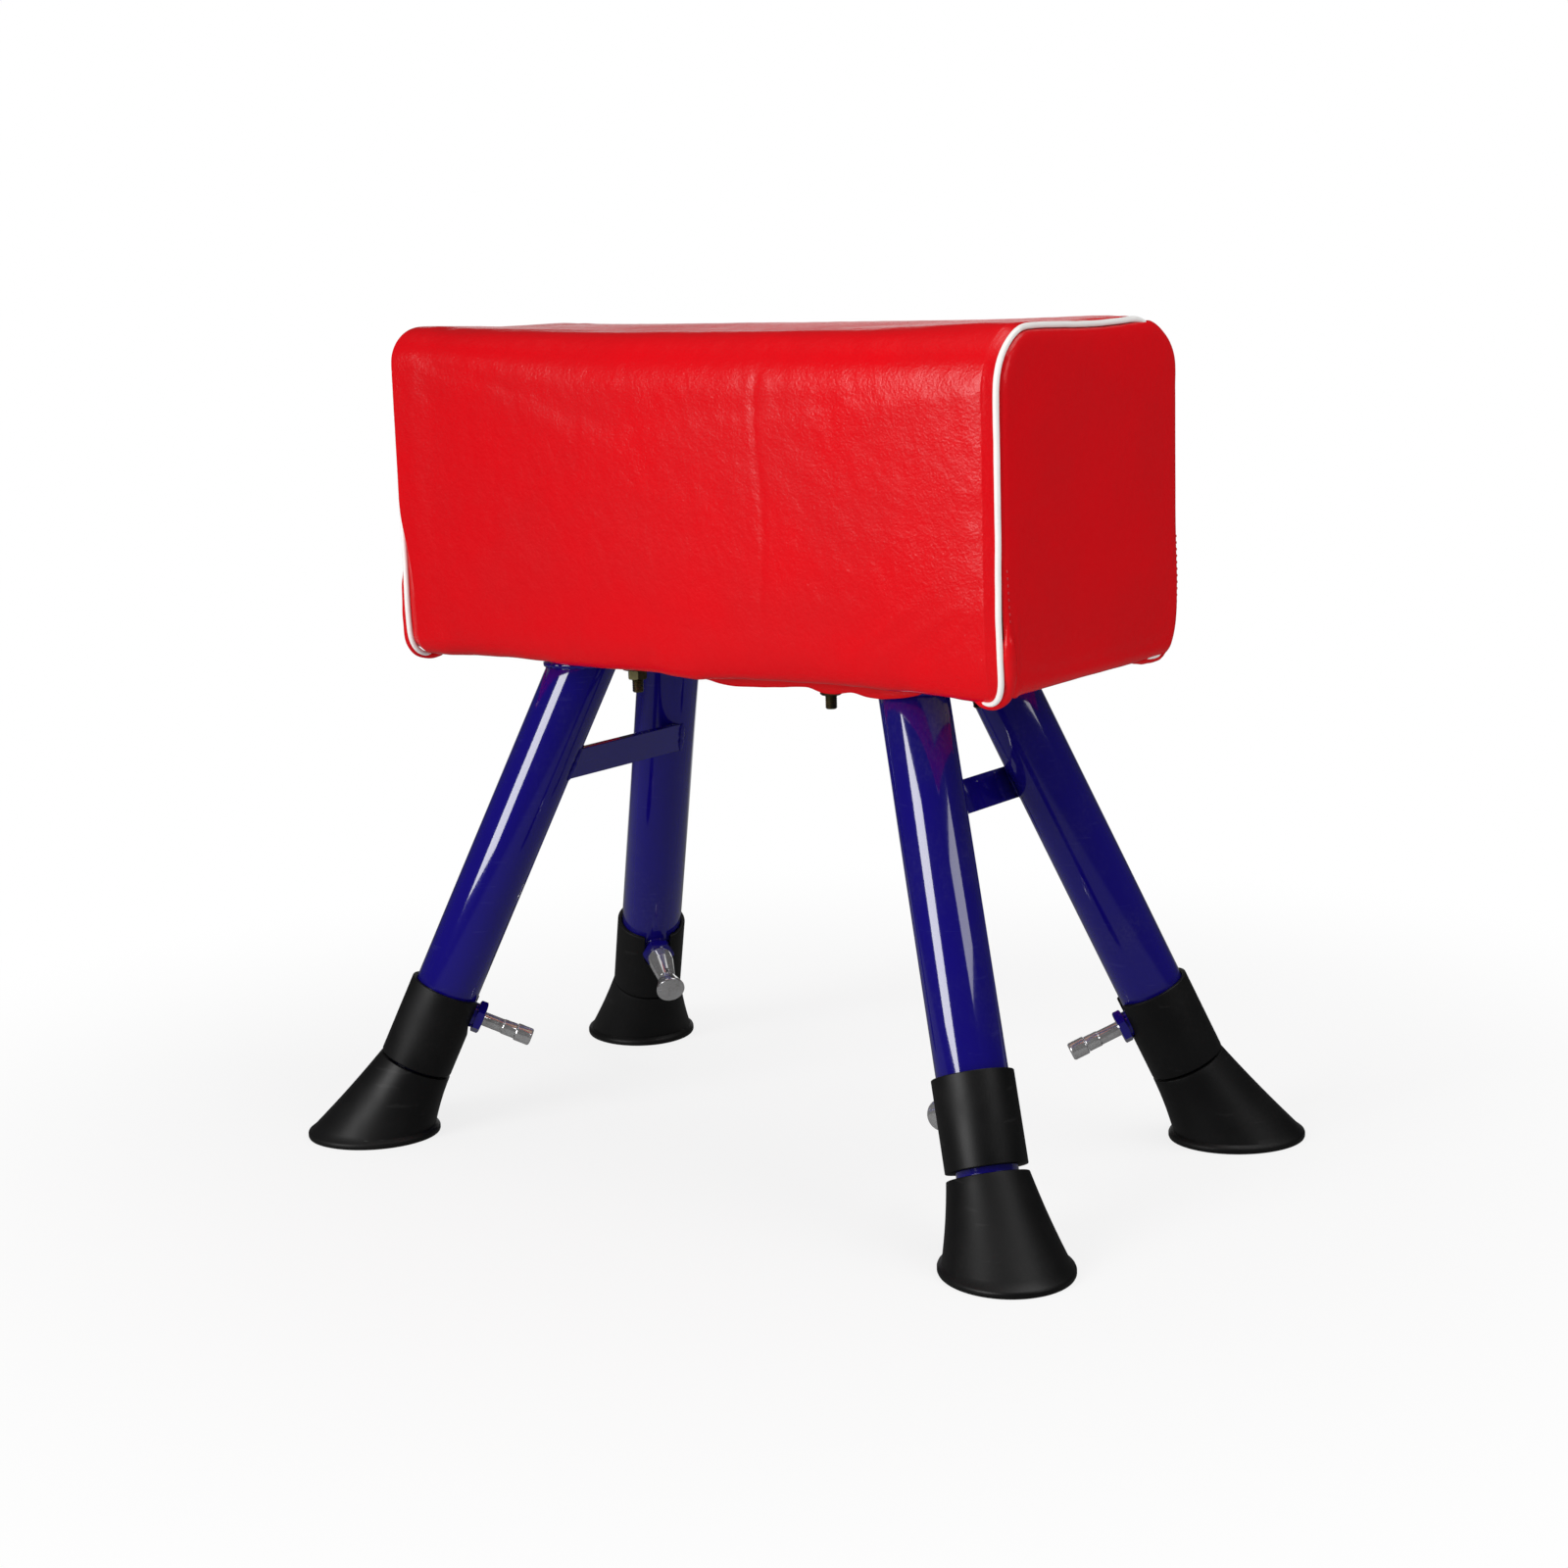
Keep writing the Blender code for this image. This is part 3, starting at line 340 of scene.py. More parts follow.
def mark_edges(mesh):
    """An attribute that is 1 along sharp or bevelled edges, for wear."""
    bm = bmesh.new()
    bm.from_mesh(mesh)
    bm.normal_update()
    worn = []
    for vert in bm.verts:
        sharpest = 0.0
        for edge in vert.link_edges:
            if len(edge.link_faces) == 2:
                sharpest = max(sharpest, edge.calc_face_angle(0.0))
        worn.append(smooth(0.25, 0.7, sharpest))
    bm.free()
    attribute = mesh.attributes.new("edge_wear", "FLOAT", "POINT")
    attribute.data.foreach_set("value", worn)


def add_piece(name, bm, material, body, replaces=(), place=None, smooth_below=35):
    """Makes a finished piece of the object, riding on its body."""
    if place:
        bmesh.ops.transform(bm, matrix=place, verts=bm.verts)
    mesh = bpy.data.meshes.new(name)
    bm.to_mesh(mesh)
    bm.free()
    mesh.materials.clear()
    mesh.materials.append(material)
    mesh.shade_smooth()
    mesh.set_sharp_from_angle(angle=math.radians(smooth_below))
    mark_edges(mesh)
    piece = bpy.data.objects.new(name, mesh)
    bpy.context.scene.collection.objects.link(piece)
    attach(piece, body)
    if replaces:
        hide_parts(*replaces)
    return piece


# Materials


def add_node(tree, kind, inputs=None, **settings):
    """A node with its settings, its inputs linked or set to values."""
    node = tree.nodes.new(kind)
    for name, value in settings.items():
        setattr(node, name, value)
    for name, value in (inputs or {}).items():
        if isinstance(value, bpy.types.NodeSocket):
            tree.links.new(value, node.inputs[name])
        else:
            node.inputs[name].default_value = value
    return node


def new_group(name, inputs, outputs):
    """A shader node group with float inputs that have defaults, and named outputs."""
    group = bpy.data.node_groups.new(name, "ShaderNodeTree")
    for label, value in inputs.items():
        socket = group.interface.new_socket(
            label, in_out="INPUT", socket_type="NodeSocketFloat"
        )
        socket.default_value = value
    for label in outputs:
        group.interface.new_socket(label, in_out="OUTPUT", socket_type="NodeSocketFloat")
    start = group.nodes.new("NodeGroupInput")
    end = group.nodes.new("NodeGroupOutput")
    return group, start, end


def sum_of(tree, operation, first, second, clamp=False):
    """Two values joined by a sum, each a socket or a number."""
    node = add_node(tree, "ShaderNodeMath", operation=operation, use_clamp=clamp)
    for socket, value in zip(node.inputs, (first, second)):
        if isinstance(value, bpy.types.NodeSocket):
            tree.links.new(value, socket)
        else:
            socket.default_value = value
    return node.outputs[0]


def ramp(tree, value, low, high):
    """0 below low and 1 above high."""
    node = add_node(
        tree,
        "ShaderNodeMapRange",
        {"Value": value, "From Min": low, "From Max": high},
        interpolation_type="SMOOTHSTEP",
    )
    return node.outputs["Result"]


def blended(tree, share, first, second):
    """A mix of two colours or values by a share."""
    node = add_node(tree, "ShaderNodeMix", {"Factor": share}, data_type="RGBA")
    for socket, value in zip((node.inputs[6], node.inputs[7]), (first, second)):
        if isinstance(value, bpy.types.NodeSocket):
            tree.links.new(value, socket)
        else:
            socket.default_value = (*value, 1.0)
    return node.outputs[2]


def own_place(tree):
    """The piece's own coordinates."""
    return add_node(tree, "ShaderNodeTexCoord").outputs["Object"]


def cloudy(tree, where, scale, detail, roughness=0.5):
    """A noise value at a place."""
    inputs = {"Vector": where, "Scale": scale, "Detail": detail, "Roughness": roughness}
    return add_node(tree, "ShaderNodeTexNoise", inputs).outputs[0]


def layered(tree, colour, *layers):
    """A colour under thin layers, each a mask, the layer's strength and its tint."""
    for mask, strength, tint in layers:
        colour = blended(tree, sum_of(tree, "MULTIPLY", mask, strength), colour, tint)
    return colour


def make_grain_group():
    """Leather grain and moulded texture: small cells with a finer noise."""
    group, start, end = new_group(
        "leather_grain", {"Scale": 700.0, "Cells": 0.6}, ("Height", "Tone")
    )
    where = own_place(group)
    cells = add_node(
        group,
        "ShaderNodeTexVoronoi",
        {"Vector": where, "Scale": start.outputs["Scale"], "Randomness": 1.0},
        feature="SMOOTH_F1",
    )
    finer = sum_of(group, "MULTIPLY", start.outputs["Scale"], 2.3)
    fine_part = sum_of(group, "MULTIPLY", cloudy(group, where, finer, 3.0), 0.4)
    cell_part = sum_of(group, "MULTIPLY", cells.outputs["Distance"], start.outputs["Cells"])
    group.links.new(sum_of(group, "ADD", cell_part, fine_part), end.inputs["Height"])
    group.links.new(ramp(group, cloudy(group, where, 9.0, 4.0), 0.3, 0.7), end.inputs["Tone"])
    return group


def make_scuff_group():
    """Rubbed patches and fine scratches, in two directions."""
    group, start, end = new_group(
        "scuffs", {"Scale": 30.0, "Amount": 0.4, "Stretch": 12.0}, ("Mask", "Scratches")
    )
    where = own_place(group)
    scale = start.outputs["Scale"]
    patches = cloudy(group, where, scale, 7.0, 0.65)
    low = sum_of(group, "SUBTRACT", 0.80, sum_of(group, "MULTIPLY", start.outputs["Amount"], 0.35))
    mask = ramp(group, patches, low, sum_of(group, "ADD", low, 0.08))
    group.links.new(mask, end.inputs["Mask"])
    axes = {"X": 1.0, "Y": 1.0, "Z": start.outputs["Stretch"]}
    stretch = add_node(group, "ShaderNodeCombineXYZ", axes)
    turned_where = add_node(
        group,
        "ShaderNodeMapping",
        {"Vector": where, "Rotation": (0.5, 0.3, 0.4), "Scale": stretch.outputs[0]},
    )
    lines = cloudy(group, turned_where.outputs[0], scale, 3.0)
    group.links.new(ramp(group, lines, 0.66, 0.72), end.inputs["Scratches"])
    return group


def make_edge_group():
    """Wear along edges, broken up by noise, from the piece's own attribute."""
    group, start, end = new_group("edge_rub", {"Amount": 0.5, "Scale": 60.0}, ("Mask",))
    edge = add_node(group, "ShaderNodeAttribute", attribute_name="edge_wear")
    where = own_place(group)
    chips = cloudy(group, where, start.outputs["Scale"], 5.0)
    strength = sum_of(group, "MULTIPLY", edge.outputs["Fac"], chips)
    limit = sum_of(group, "SUBTRACT", 1.0, start.outputs["Amount"])
    mask = ramp(group, strength, limit, sum_of(group, "ADD", limit, 0.12))
    group.links.new(mask, end.inputs["Mask"])
    return group


def make_dust_group():
    """Thin dust and chalk in soft clouds."""
    group, start, end = new_group("dust", {"Amount": 0.3, "Scale": 6.0}, ("Mask",))
    where = own_place(group)
    clouds = ramp(group, cloudy(group, where, start.outputs["Scale"], 8.0, 0.6), 0.42, 0.75)
    specks = ramp(group, cloudy(group, where, 260.0, 2.0), 0.35, 0.75)
    both = sum_of(group, "MULTIPLY", clouds, sum_of(group, "ADD", 0.4, specks))
    mask = sum_of(group, "MULTIPLY", both, start.outputs["Amount"], clamp=True)
    group.links.new(mask, end.inputs["Mask"])
    return group


GRAIN = make_grain_group()
SCUFFS = make_scuff_group()
EDGES = make_edge_group()
DUST = make_dust_group()


def grouped(tree, group, **values):
    """A group's outputs for the given inputs."""
    node = add_node(tree, "ShaderNodeGroup", node_tree=group)
    for name, value in values.items():
        node.inputs[name].default_value = value
    return node.outputs


def new_material(name, **values):
    """A material with a Principled shader whose even values are set on its own sockets."""
    material = bpy.data.materials.new(name)
    material.use_nodes = True
    tree = material.node_tree
    shader = tree.nodes["Principled BSDF"]
    for label, value in values.items():
        socket = shader.inputs[label.replace("_", " ")]
        socket.default_value = (*value, 1.0) if isinstance(value, tuple) else value
    return material, tree, shader


def bumped(tree, shader, height, strength, distance):
    """Gives a shader the bumps of a height."""
    bump = add_node(
        tree, "ShaderNodeBump", {"Height": height, "Strength": strength, "Distance": distance}
    )
    tree.links.new(bump.outputs[0], shader.inputs["Normal"])


def varied_roughness(tree, shader, base, spread, mask):
    """Gives a shader a roughness that rises with a mask."""
    value = sum_of(tree, "ADD", base, sum_of(tree, "MULTIPLY", mask, spread), clamp=True)
    tree.links.new(value, shader.inputs["Roughness"])


def make_leather(name, tones_with_painted_light, worn):
    """Grained leather with painted shade and light: a little darker towards the left end and lighter
    from the middle to the right end and its panel, where more light falls; with fine marks and thin
    dust.
    """
    material, tree, shader = new_material(name, Specular_IOR_Level=0.30)
    grain = grouped(tree, GRAIN, Scale=420.0)
    scuffs = grouped(tree, SCUFFS, Scale=9.0, Amount=0.25, Stretch=5.0)
    dust = grouped(tree, DUST, Amount=0.01, Scale=7.0)
    where = own_place(tree)
    along = add_node(tree, "ShaderNodeSeparateXYZ", {"Vector": where}).outputs["X"]
    # Painted shade and light: the red runs from a darker tone at the left end to a lighter one from
    # the middle rightwards, standing in for the light that falls more on the right
    shade = blended(tree, ramp(tree, along, -0.36, 0.10), tones_with_painted_light[0], tones_with_painted_light[1])
    darker = blended(tree, 0.07, shade, (0.0, 0.0, 0.0))
    colour = blended(tree, grain["Tone"], shade, darker)
    marks = (scuffs["Scratches"], 0.03, worn)
    colour = layered(tree, colour, marks, (dust["Mask"], 0.25, (0.75, 0.20, 0.20)))
    tree.links.new(colour, shader.inputs["Base Color"])
    varied_roughness(tree, shader, 0.22, 0.05, grain["Tone"])
    # Soft unevenness of the hide, between the grain and the folds
    uneven = sum_of(tree, "MULTIPLY", cloudy(tree, where, 95.0, 3.0), 1.6)
    height = sum_of(tree, "ADD", grain["Height"], uneven)
    bumped(tree, shader, height, 0.75, 0.0004)
    return material


def make_paint():
    """Thick blue gloss paint, with orange peel, fine scratches and rubbed edges."""
    material, tree, shader = new_material(
        "blue_paint_gloss", Coat_Weight=1.0, Coat_Roughness=0.04, Specular_IOR_Level=0.5
    )
    scuffs = grouped(tree, SCUFFS, Scale=24.0, Amount=0.15, Stretch=10.0)
    rub = grouped(tree, EDGES, Amount=0.30, Scale=90.0)
    dust = grouped(tree, DUST, Amount=0.07, Scale=9.0)
    peel = grouped(tree, GRAIN, Scale=160.0, Cells=0.2)
    colour = blended(tree, peel["Tone"], (0.0055, 0.0022, 0.165), (0.0045, 0.0018, 0.145))
    colour = layered(
        tree,
        colour,
        (scuffs["Scratches"], 0.06, (0.10, 0.10, 0.30)),
        (dust["Mask"], 1.0, (0.16, 0.15, 0.22)),
        (rub["Mask"], 1.0, (0.11, 0.09, 0.08)),
    )
    tree.links.new(colour, shader.inputs["Base Color"])
    varied_roughness(tree, shader, 0.10, 0.20, scuffs["Mask"])
    bumped(tree, shader, peel["Height"], 0.12, 0.0003)
    return material


def make_rubber(name, shade, rough):
    """Moulded rubber with a dull grain, dust and pale rubbed edges."""
    material, tree, shader = new_material(name, Specular_IOR_Level=0.30)
    grain = grouped(tree, GRAIN, Scale=1100.0)
    scuffs = grouped(tree, SCUFFS, Scale=22.0, Amount=0.20, Stretch=6.0)
    dust = grouped(tree, DUST, Amount=0.10, Scale=14.0)
    rub = grouped(tree, EDGES, Amount=0.45, Scale=70.0)
    colour = blended(tree, grain["Tone"], shade, tuple(1.4 * c for c in shade))
    colour = layered(
        tree,
        colour,
        (dust["Mask"], 0.35, (0.09, 0.085, 0.08)),
        (scuffs["Scratches"], 0.05, (0.12, 0.12, 0.12)),
        (rub["Mask"], 0.5, (0.06, 0.06, 0.06)),
    )
    tree.links.new(colour, shader.inputs["Base Color"])
    varied_roughness(tree, shader, rough, 0.18, grain["Tone"])
    bumped(tree, shader, grain["Height"], 0.25, 0.0003)
    return material


def make_metal(name, shade, rough, grime, metallic=1.0):
    """Plated or bare metal, with grime and bright edges."""
    material, tree, shader = new_material(name, Metallic=metallic)
    scuffs = grouped(tree, SCUFFS, Scale=70.0, Amount=0.35, Stretch=14.0)
    rub = grouped(tree, EDGES, Amount=0.4, Scale=160.0)
    dust = grouped(tree, DUST, Amount=0.5, Scale=40.0)
    bright = tuple(min(1.0, 1.15 * c) for c in shade)
    colour = layered(tree, shade, (dust["Mask"], 1.0, grime), (rub["Mask"], 0.6, bright))
    tree.links.new(colour, shader.inputs["Base Color"])
    varied_roughness(tree, shader, rough, 0.22, scuffs["Scratches"])
    bumped(tree, shader, scuffs["Scratches"], 0.15, 0.0001)
    return material


def make_plain(name, shade, other, rough, scale, depth):
    """Foam, nylon and cord covering: a grained colour with small variation."""
    material, tree, shader = new_material(name)
    grain = grouped(tree, GRAIN, Scale=scale)
    dust = grouped(tree, DUST, Amount=0.3, Scale=12.0)
    colour = blended(tree, grain["Tone"], shade, other)
    colour = layered(tree, colour, (dust["Mask"], 0.5, tuple(0.6 * c for c in other)))
    tree.links.new(colour, shader.inputs["Base Color"])
    varied_roughness(tree, shader, rough, 0.1, grain["Tone"])
    bumped(tree, shader, grain["Height"], 0.3, depth)
    return material


def make_plywood():
    """Birch plywood: plies seen on the edges and a long figure on the faces."""
    material, tree, shader = new_material("birch_plywood")
    where = own_place(tree)
    plies = add_node(
        tree,
        "ShaderNodeTexWave",
        {"Vector": where, "Scale": 110.0, "Distortion": 0.4, "Detail": 2.0},
        bands_direction="Z",
    )
    long_way = add_node(tree, "ShaderNodeMapping", {"Vector": where, "Scale": (2.0, 30.0, 30.0)})
    figure = cloudy(tree, long_way.outputs[0], 3.0, 6.0)
    colour = blended(tree, figure, (0.62, 0.44, 0.26), (0.48, 0.31, 0.17))
    colour = layered(tree, colour, (plies.outputs["Fac"], 0.35, (0.30, 0.18, 0.09)))
    tree.links.new(colour, shader.inputs["Base Color"])
    varied_roughness(tree, shader, 0.60, 0.15, figure)
    bumped(tree, shader, figure, 0.2, 0.0004)
    return material


# The first red is the painted shade of the left end, the second the painted light of the right part
# and its end panel
RED = make_leather(
    "red_leather_grained", ((0.63, 0.0003, 0.0042), (0.72, 0.0003, 0.0048)), (0.50, 0.02, 0.02)
)
RED_THREAD = make_plain(
    "red_thread", (0.70, 0.045, 0.055), (0.45, 0.010, 0.015), 0.5, 2500.0, 0.0001
)
WHITE = make_plain(
    "white_piping_gloss", (0.94, 0.92, 0.90), (0.90, 0.87, 0.84), 0.30, 900.0, 0.0001
)
FOAM = make_plain("upholstery_foam", (0.80, 0.70, 0.46), (0.72, 0.60, 0.36), 0.90, 420.0, 0.0008)
NYLON = make_plain("guide_nylon", (0.74, 0.73, 0.69), (0.66, 0.65, 0.60), 0.45, 800.0, 0.0002)
PLYWOOD = make_plywood()
PAINT = make_paint()
RUBBER = make_rubber("black_rubber_satin", (0.0032, 0.0032, 0.0034), 0.40)
CHROME = make_metal("satin_chrome", (0.92, 0.92, 0.93), 0.10, (0.45, 0.43, 0.40), 0.85)
ZINC = make_metal("dulled_zinc", (0.20, 0.18, 0.09), 0.36, (0.05, 0.045, 0.02))
SPRING_STEEL = make_metal("spring_wire", (0.45, 0.45, 0.46), 0.30, (0.12, 0.12, 0.12))


# Section of the upholstered body


def quarter(centre, half_axes, start, steps):
    """Points of a quarter of an ellipse."""
    turns = (start + math.pi / 2 * step / steps for step in range(steps + 1))
    return [
        (centre[0] + half_axes[0] * math.cos(turn), centre[1] + half_axes[1] * math.sin(turn))
        for turn in turns
    ]


def body_half(edge, steps=16):
    """One side of the section, drawn on +Y, from the bottom's inner end up to the top."""
    half = BODY_WIDTH / 2
    low_half = half - SIDE_DRAW_IN
    low_centre = (low_half - LOW_ROUND_ACROSS, BODY_BOTTOM + LOW_ROUND_UP)
    across, down = TOP_ROUND_ACROSS[edge], TOP_ROUND_DOWN[edge]
    points = quarter(low_centre, (LOW_ROUND_ACROSS, LOW_ROUND_UP), -math.pi / 2, steps)
    points.append((half - 0.0006, low_centre[1] + SIDE_DRAW_RISE * 0.7))
    points.append((half, low_centre[1] + SIDE_DRAW_RISE * 1.4))
    return points + quarter((half - across, BODY_TOP - down), (across, down), 0, steps)


def outline_of(points, count):
    """Points spread evenly along a polyline, each with its outward normal."""
    lengths = [0.0]
    for before, after in zip(points, points[1:]):
        lengths.append(lengths[-1] + math.dist(before, after))
    spread = []
    index = 0
    for step in range(count + 1):
        wanted = lengths[-1] * step / count
        while index < len(points) - 2 and lengths[index + 1] < wanted:
            index += 1
        span = lengths[index + 1] - lengths[index]
        share = (wanted - lengths[index]) / span
        before, after = Vector(points[index]), Vector(points[index + 1])
        spread.append(before.lerp(after, min(1.0, max(0.0, share))))
    placed = []
    for step, here in enumerate(spread):
        run = spread[min(count, step + 1)] - spread[max(0, step - 1)]
        normal = Vector((run.y, -run.x)).normalized()
        placed.append((here, normal))
    return placed


def hem_points():
    """The turned-under leather on the +Y side: down the board's side, then out to the edge."""
    centre = (HEM_OUT + HEM_ROLL, UNDERSIDE - HEM_ROLL)
    roll = quarter(centre, (HEM_ROLL, HEM_ROLL), math.pi / 2, 4)
    return [(HEM_OUT, HEM_LOW)] + list(reversed(roll))


def mirrored(points):
    """Section points on the other side, in the other order."""
    return [(-y, z) for y, z in reversed(points)]


def whole_section():
    """From the hem's edge on the +Y side, over the top, to the hem's edge on the -Y side."""
    hem = hem_points()
    return hem + body_half("back") + mirrored(body_half("front")) + mirrored(hem)


# How far the front's lower edge hangs above or below the plain section, along the body
FRONT_LOW_EDGE = [
    (-0.371, 0.0000),
    (-0.330, -0.0005),
    (-0.290, 0.0017),
    (-0.250, 0.0013),
    (-0.206, -0.0008),
    (-0.166, -0.0045),
    (-0.130, -0.0053),
    (-0.080, -0.0048),
    (-0.049, -0.0050),
    (-0.020, -0.0082),
    (0.007, -0.0100),
    (0.030, -0.0065),
    (0.060, -0.0040),
    (0.116, -0.0030),
    (0.169, -0.0020),
    (0.203, -0.0025),
    (0.235, -0.0040),
    (0.262, -0.0032),
    (0.277, -0.0048),
    (0.290, -0.0056),
    (0.305, -0.0065),
    (0.321, -0.0088),
    (0.345, -0.0100),
    (0.371, -0.0100),
]
# How far the top rises at the right end, from front to back
RIGHT_TOP_EDGE = [
    (-0.155, 0.0),
    (-0.112, 0.0034),
    (-0.090, 0.0034),
    (-0.057, 0.0025),
    (-0.020, 0.0012),
    (0.016, 0.0006),
    (0.054, 0.0012),
    (0.088, 0.0022),
    (0.120, 0.0012),
    (0.150, 0.0),
]
# The roundings of the top and the bottom front edge: centre across and up, reach across and up
FRONT_ROUND = (0.1205, 0.8080, 0.0545, 0.0575)
LOW_ROUND = (0.1470, 0.5710, 0.0250, 0.0450)
# The squarer ones that they are drawn out to at the left end
FULL_ROUND = (0.1300, 0.8355, 0.0450, 0.0350)
LOW_FULL = (0.1500, 0.5480, 0.0250, 0.0230)
# Where on the front, and on the top or the bottom, the drawing out begins
FRONT_FROM = 0.66
TOP_FROM = 0.0
BOTTOM_FROM = 0.125


def drawn_out(y, z, share, plain, full, way, level_from):
    """A front edge drawn out to a squarer one by a share; way is 1 at the top, -1 at the bottom."""
    across, up, reach_across, reach_up = plain
    over = max(0.0, -y - across) / reach_across
    beyond = max(0.0, way * (z - up)) / reach_up
    size = math.hypot(over, beyond)
    if beyond <= 0:
        over, beyond, near = 1.0, 0.0, smooth(FRONT_FROM, up, z)
    elif over <= 0:
        over, beyond, near = 0.0, 1.0, smooth(level_from, across, -y)
    else:
        over, beyond, near = over / size, beyond / size, 1.0
    move_y = -(full[0] + full[2] * over) + (across + reach_across * over)
    move_z = (full[1] + way * full[3] * beyond) - (up + way * reach_up * beyond)
    return y + move_y * share * near, z + move_z * share * near


def settled(point):
    """Where a point of the plain body lies on the real, used one."""
    x, y, z = point
    if x < -0.08 and y < 0 and z > FRONT_FROM:
        y, z = drawn_out(y, z, smooth(0.08, 0.34, -x), FRONT_ROUND, FULL_ROUND, 1, TOP_FROM)
    if x < -0.20 and y < -0.12 and z < FRONT_FROM:
        y, z = drawn_out(y, z, smooth(0.20, 0.35, -x), LOW_ROUND, LOW_FULL, -1, BOTTOM_FROM)
    # The front eases back towards the right end
    if x > 0.24 and y < 0:
        y += 0.17 * (x - 0.24) ** 2 * smooth(0.58, 0.68, z) * smooth(0.100, 0.150, -y)
    # The lower edges wave, the front one more
    if point.z < 0.60:
        low = smooth(0.60, 0.535, point.z)
        side = smooth(0.134, 0.160, abs(point.y))
        if point.y < 0:
            z += low * side * along_curve(FRONT_LOW_EDGE, x)
        else:
            z += low * side * 0.003 * noise.noise(Vector((x * 7, 3.1, 0)))
    # The top is crowned along its middle, and waves at the right end
    if point.z > 0.80:
        top = smooth(0.80, 0.855, point.z)
        z += top * (0.0012 - 0.0022 * smooth(0.02, 0.09, abs(point.y))) * smooth(0.36, 0.25, abs(x))
        z += top * along_curve(RIGHT_TOP_EDGE, point.y) * smooth(0.18, 0.36, x)
    # The back edge of the right end is drawn in
    if x > 0.1 and point.y > 0.05:
        y -= 0.0042 * smooth(0.10, 0.36, x) * smooth(0.05, 0.16, point.y)
    return Vector((x, y, z))


# Cloth

PRESSURE = 4.0
SHRINK = -0.01
CLOTH_FRAMES = 20
# How far the simulation may press a leather skin into its padding
SINK = 0.0002
SKIN_THICKNESS = 0.8 * LEATHER


def puffed(piece, pinned, inset, cap):
    """Swells a leather skin over its padding by a cloth simulation, each move capped."""
    mesh = piece.data
    rest = [vert.co.copy() for vert in mesh.vertices]
    normals = [vert.normal.copy() for vert in mesh.vertices]
    hold = piece.vertex_groups.new(name="hold")
    for index, weight in pinned.items():
        hold.add([index], weight, "REPLACE")
    for vert, normal in zip(mesh.vertices, normals):
        vert.co -= normal * inset * (1 - pinned.get(vert.index, 0.0))
    start = [vert.co.copy() for vert in mesh.vertices]
    cloth = piece.modifiers.new("cloth", "CLOTH")
    settings = cloth.settings
    settings.quality = 6
    settings.mass = 0.25
    settings.tension_stiffness = 12
    settings.compression_stiffness = 12
    settings.shear_stiffness = 6
    settings.bending_stiffness = 3
    settings.air_damping = 2
    settings.use_pressure = True
    settings.uniform_pressure_force = PRESSURE
    settings.shrink_min = SHRINK
    settings.shrink_max = SHRINK
    settings.vertex_group_mass = "hold"
    settings.effector_weights.gravity = 0
    cloth.collision_settings.use_collision = False
    for number in range(1, CLOTH_FRAMES + 1):
        bpy.context.scene.frame_set(number)
    graph = bpy.context.evaluated_depsgraph_get()
    moved = piece.evaluated_get(graph).to_mesh()
    after = [vert.co.copy() for vert in moved.vertices]
    piece.evaluated_get(graph).to_mesh_clear()
    piece.modifiers.remove(cloth)
    bpy.context.scene.frame_set(1)
    for vert, origin, normal, before, new in zip(mesh.vertices, rest, normals, start, after):
        move = new - before
        size = move.length
        if size > 1e-9:
            move *= cap * math.tanh(size / cap) / size
        place = before + move
        sunk = (origin - place).dot(normal)
        if sunk > 0:
            place += normal * (sunk - SINK * math.tanh(sunk / SINK))
        vert.co = place
    piece.vertex_groups.clear()


def evaluated(piece):
    """The piece's mesh with its modifiers applied, in place of the old one."""
    graph = bpy.context.evaluated_depsgraph_get()
    fine = bpy.data.meshes.new_from_object(piece.evaluated_get(graph))
    piece.modifiers.clear()
    old = piece.data
    name = old.name
    piece.data = fine
    bpy.data.meshes.remove(old)
    fine.name = name
    return fine


def finish_skin(piece, folds):
    """One subdivision, the folds, and the leather's own thickness."""
    level = piece.modifiers.new("subdivide", "SUBSURF")
    level.levels = 1
    level.render_levels = 1
    fine = evaluated(piece)
    bm = bmesh.new()
    bm.from_mesh(fine)
    bm.normal_update()
    moves = [folds(vert.co, vert.normal) for vert in bm.verts]
    for vert, move in zip(bm.verts, moves):
        vert.co += move
    bm.to_mesh(fine)
    bm.free()
    wall = piece.modifiers.new("thickness", "SOLIDIFY")
    wall.thickness = SKIN_THICKNESS
    wall.offset = -1
    evaluated(piece).shade_smooth()


def add_leather(name, bm, replaces=()):
    """A leather piece of the body."""
    return add_piece(name, bm, RED, "buck", replaces, smooth_below=80)


def upholster(piece, held, inset, cap, folds):
    """Pads a skin that is held along its seams: its swelling, its folds and its thickness."""
    weights = {vert.index: held(vert.co) for vert in piece.data.vertices}
    pinned = {index: weight for index, weight in weights.items() if weight > 0}
    puffed(piece, pinned, inset, cap)
    finish_skin(piece, folds)


# Leather wrap

WRAP_ACROSS = 150
WRAP_ALONG = 92
ROLL_STEPS = 7
# How far from the seam the leather starts to roll in, and how far below the piping it ends
ROLL_LENGTH = 0.0135
ROLL_LENGTH_TIGHT = 0.0050
ROLL_DEPTH = 0.0024
SEAM_X = END_X - 0.0012
# From the underside down to the plain hem's edge
HEM_DROP = 0.0149
# How low the front hem's loose edge hangs along the body
FRONT_HEM = [
    (-0.050, 0.5250),
    (-0.010, 0.5139),
    (0.006, 0.5109),
    (0.024, 0.5096),
    (0.055, 0.5106),
    (0.080, 0.5122),
    (0.100, 0.5142),
    (0.116, 0.5150),
    (0.125, 0.5129),
    (0.134, 0.5100),
    (0.145, 0.5098),
    (0.155, 0.5108),
    (0.168, 0.5136),
    (0.176, 0.5110),
    (0.186, 0.5093),
    (0.200, 0.5089),
    (0.221, 0.5107),
    (0.232, 0.5125),
    (0.245, 0.5150),
    (0.262, 0.5250),
]


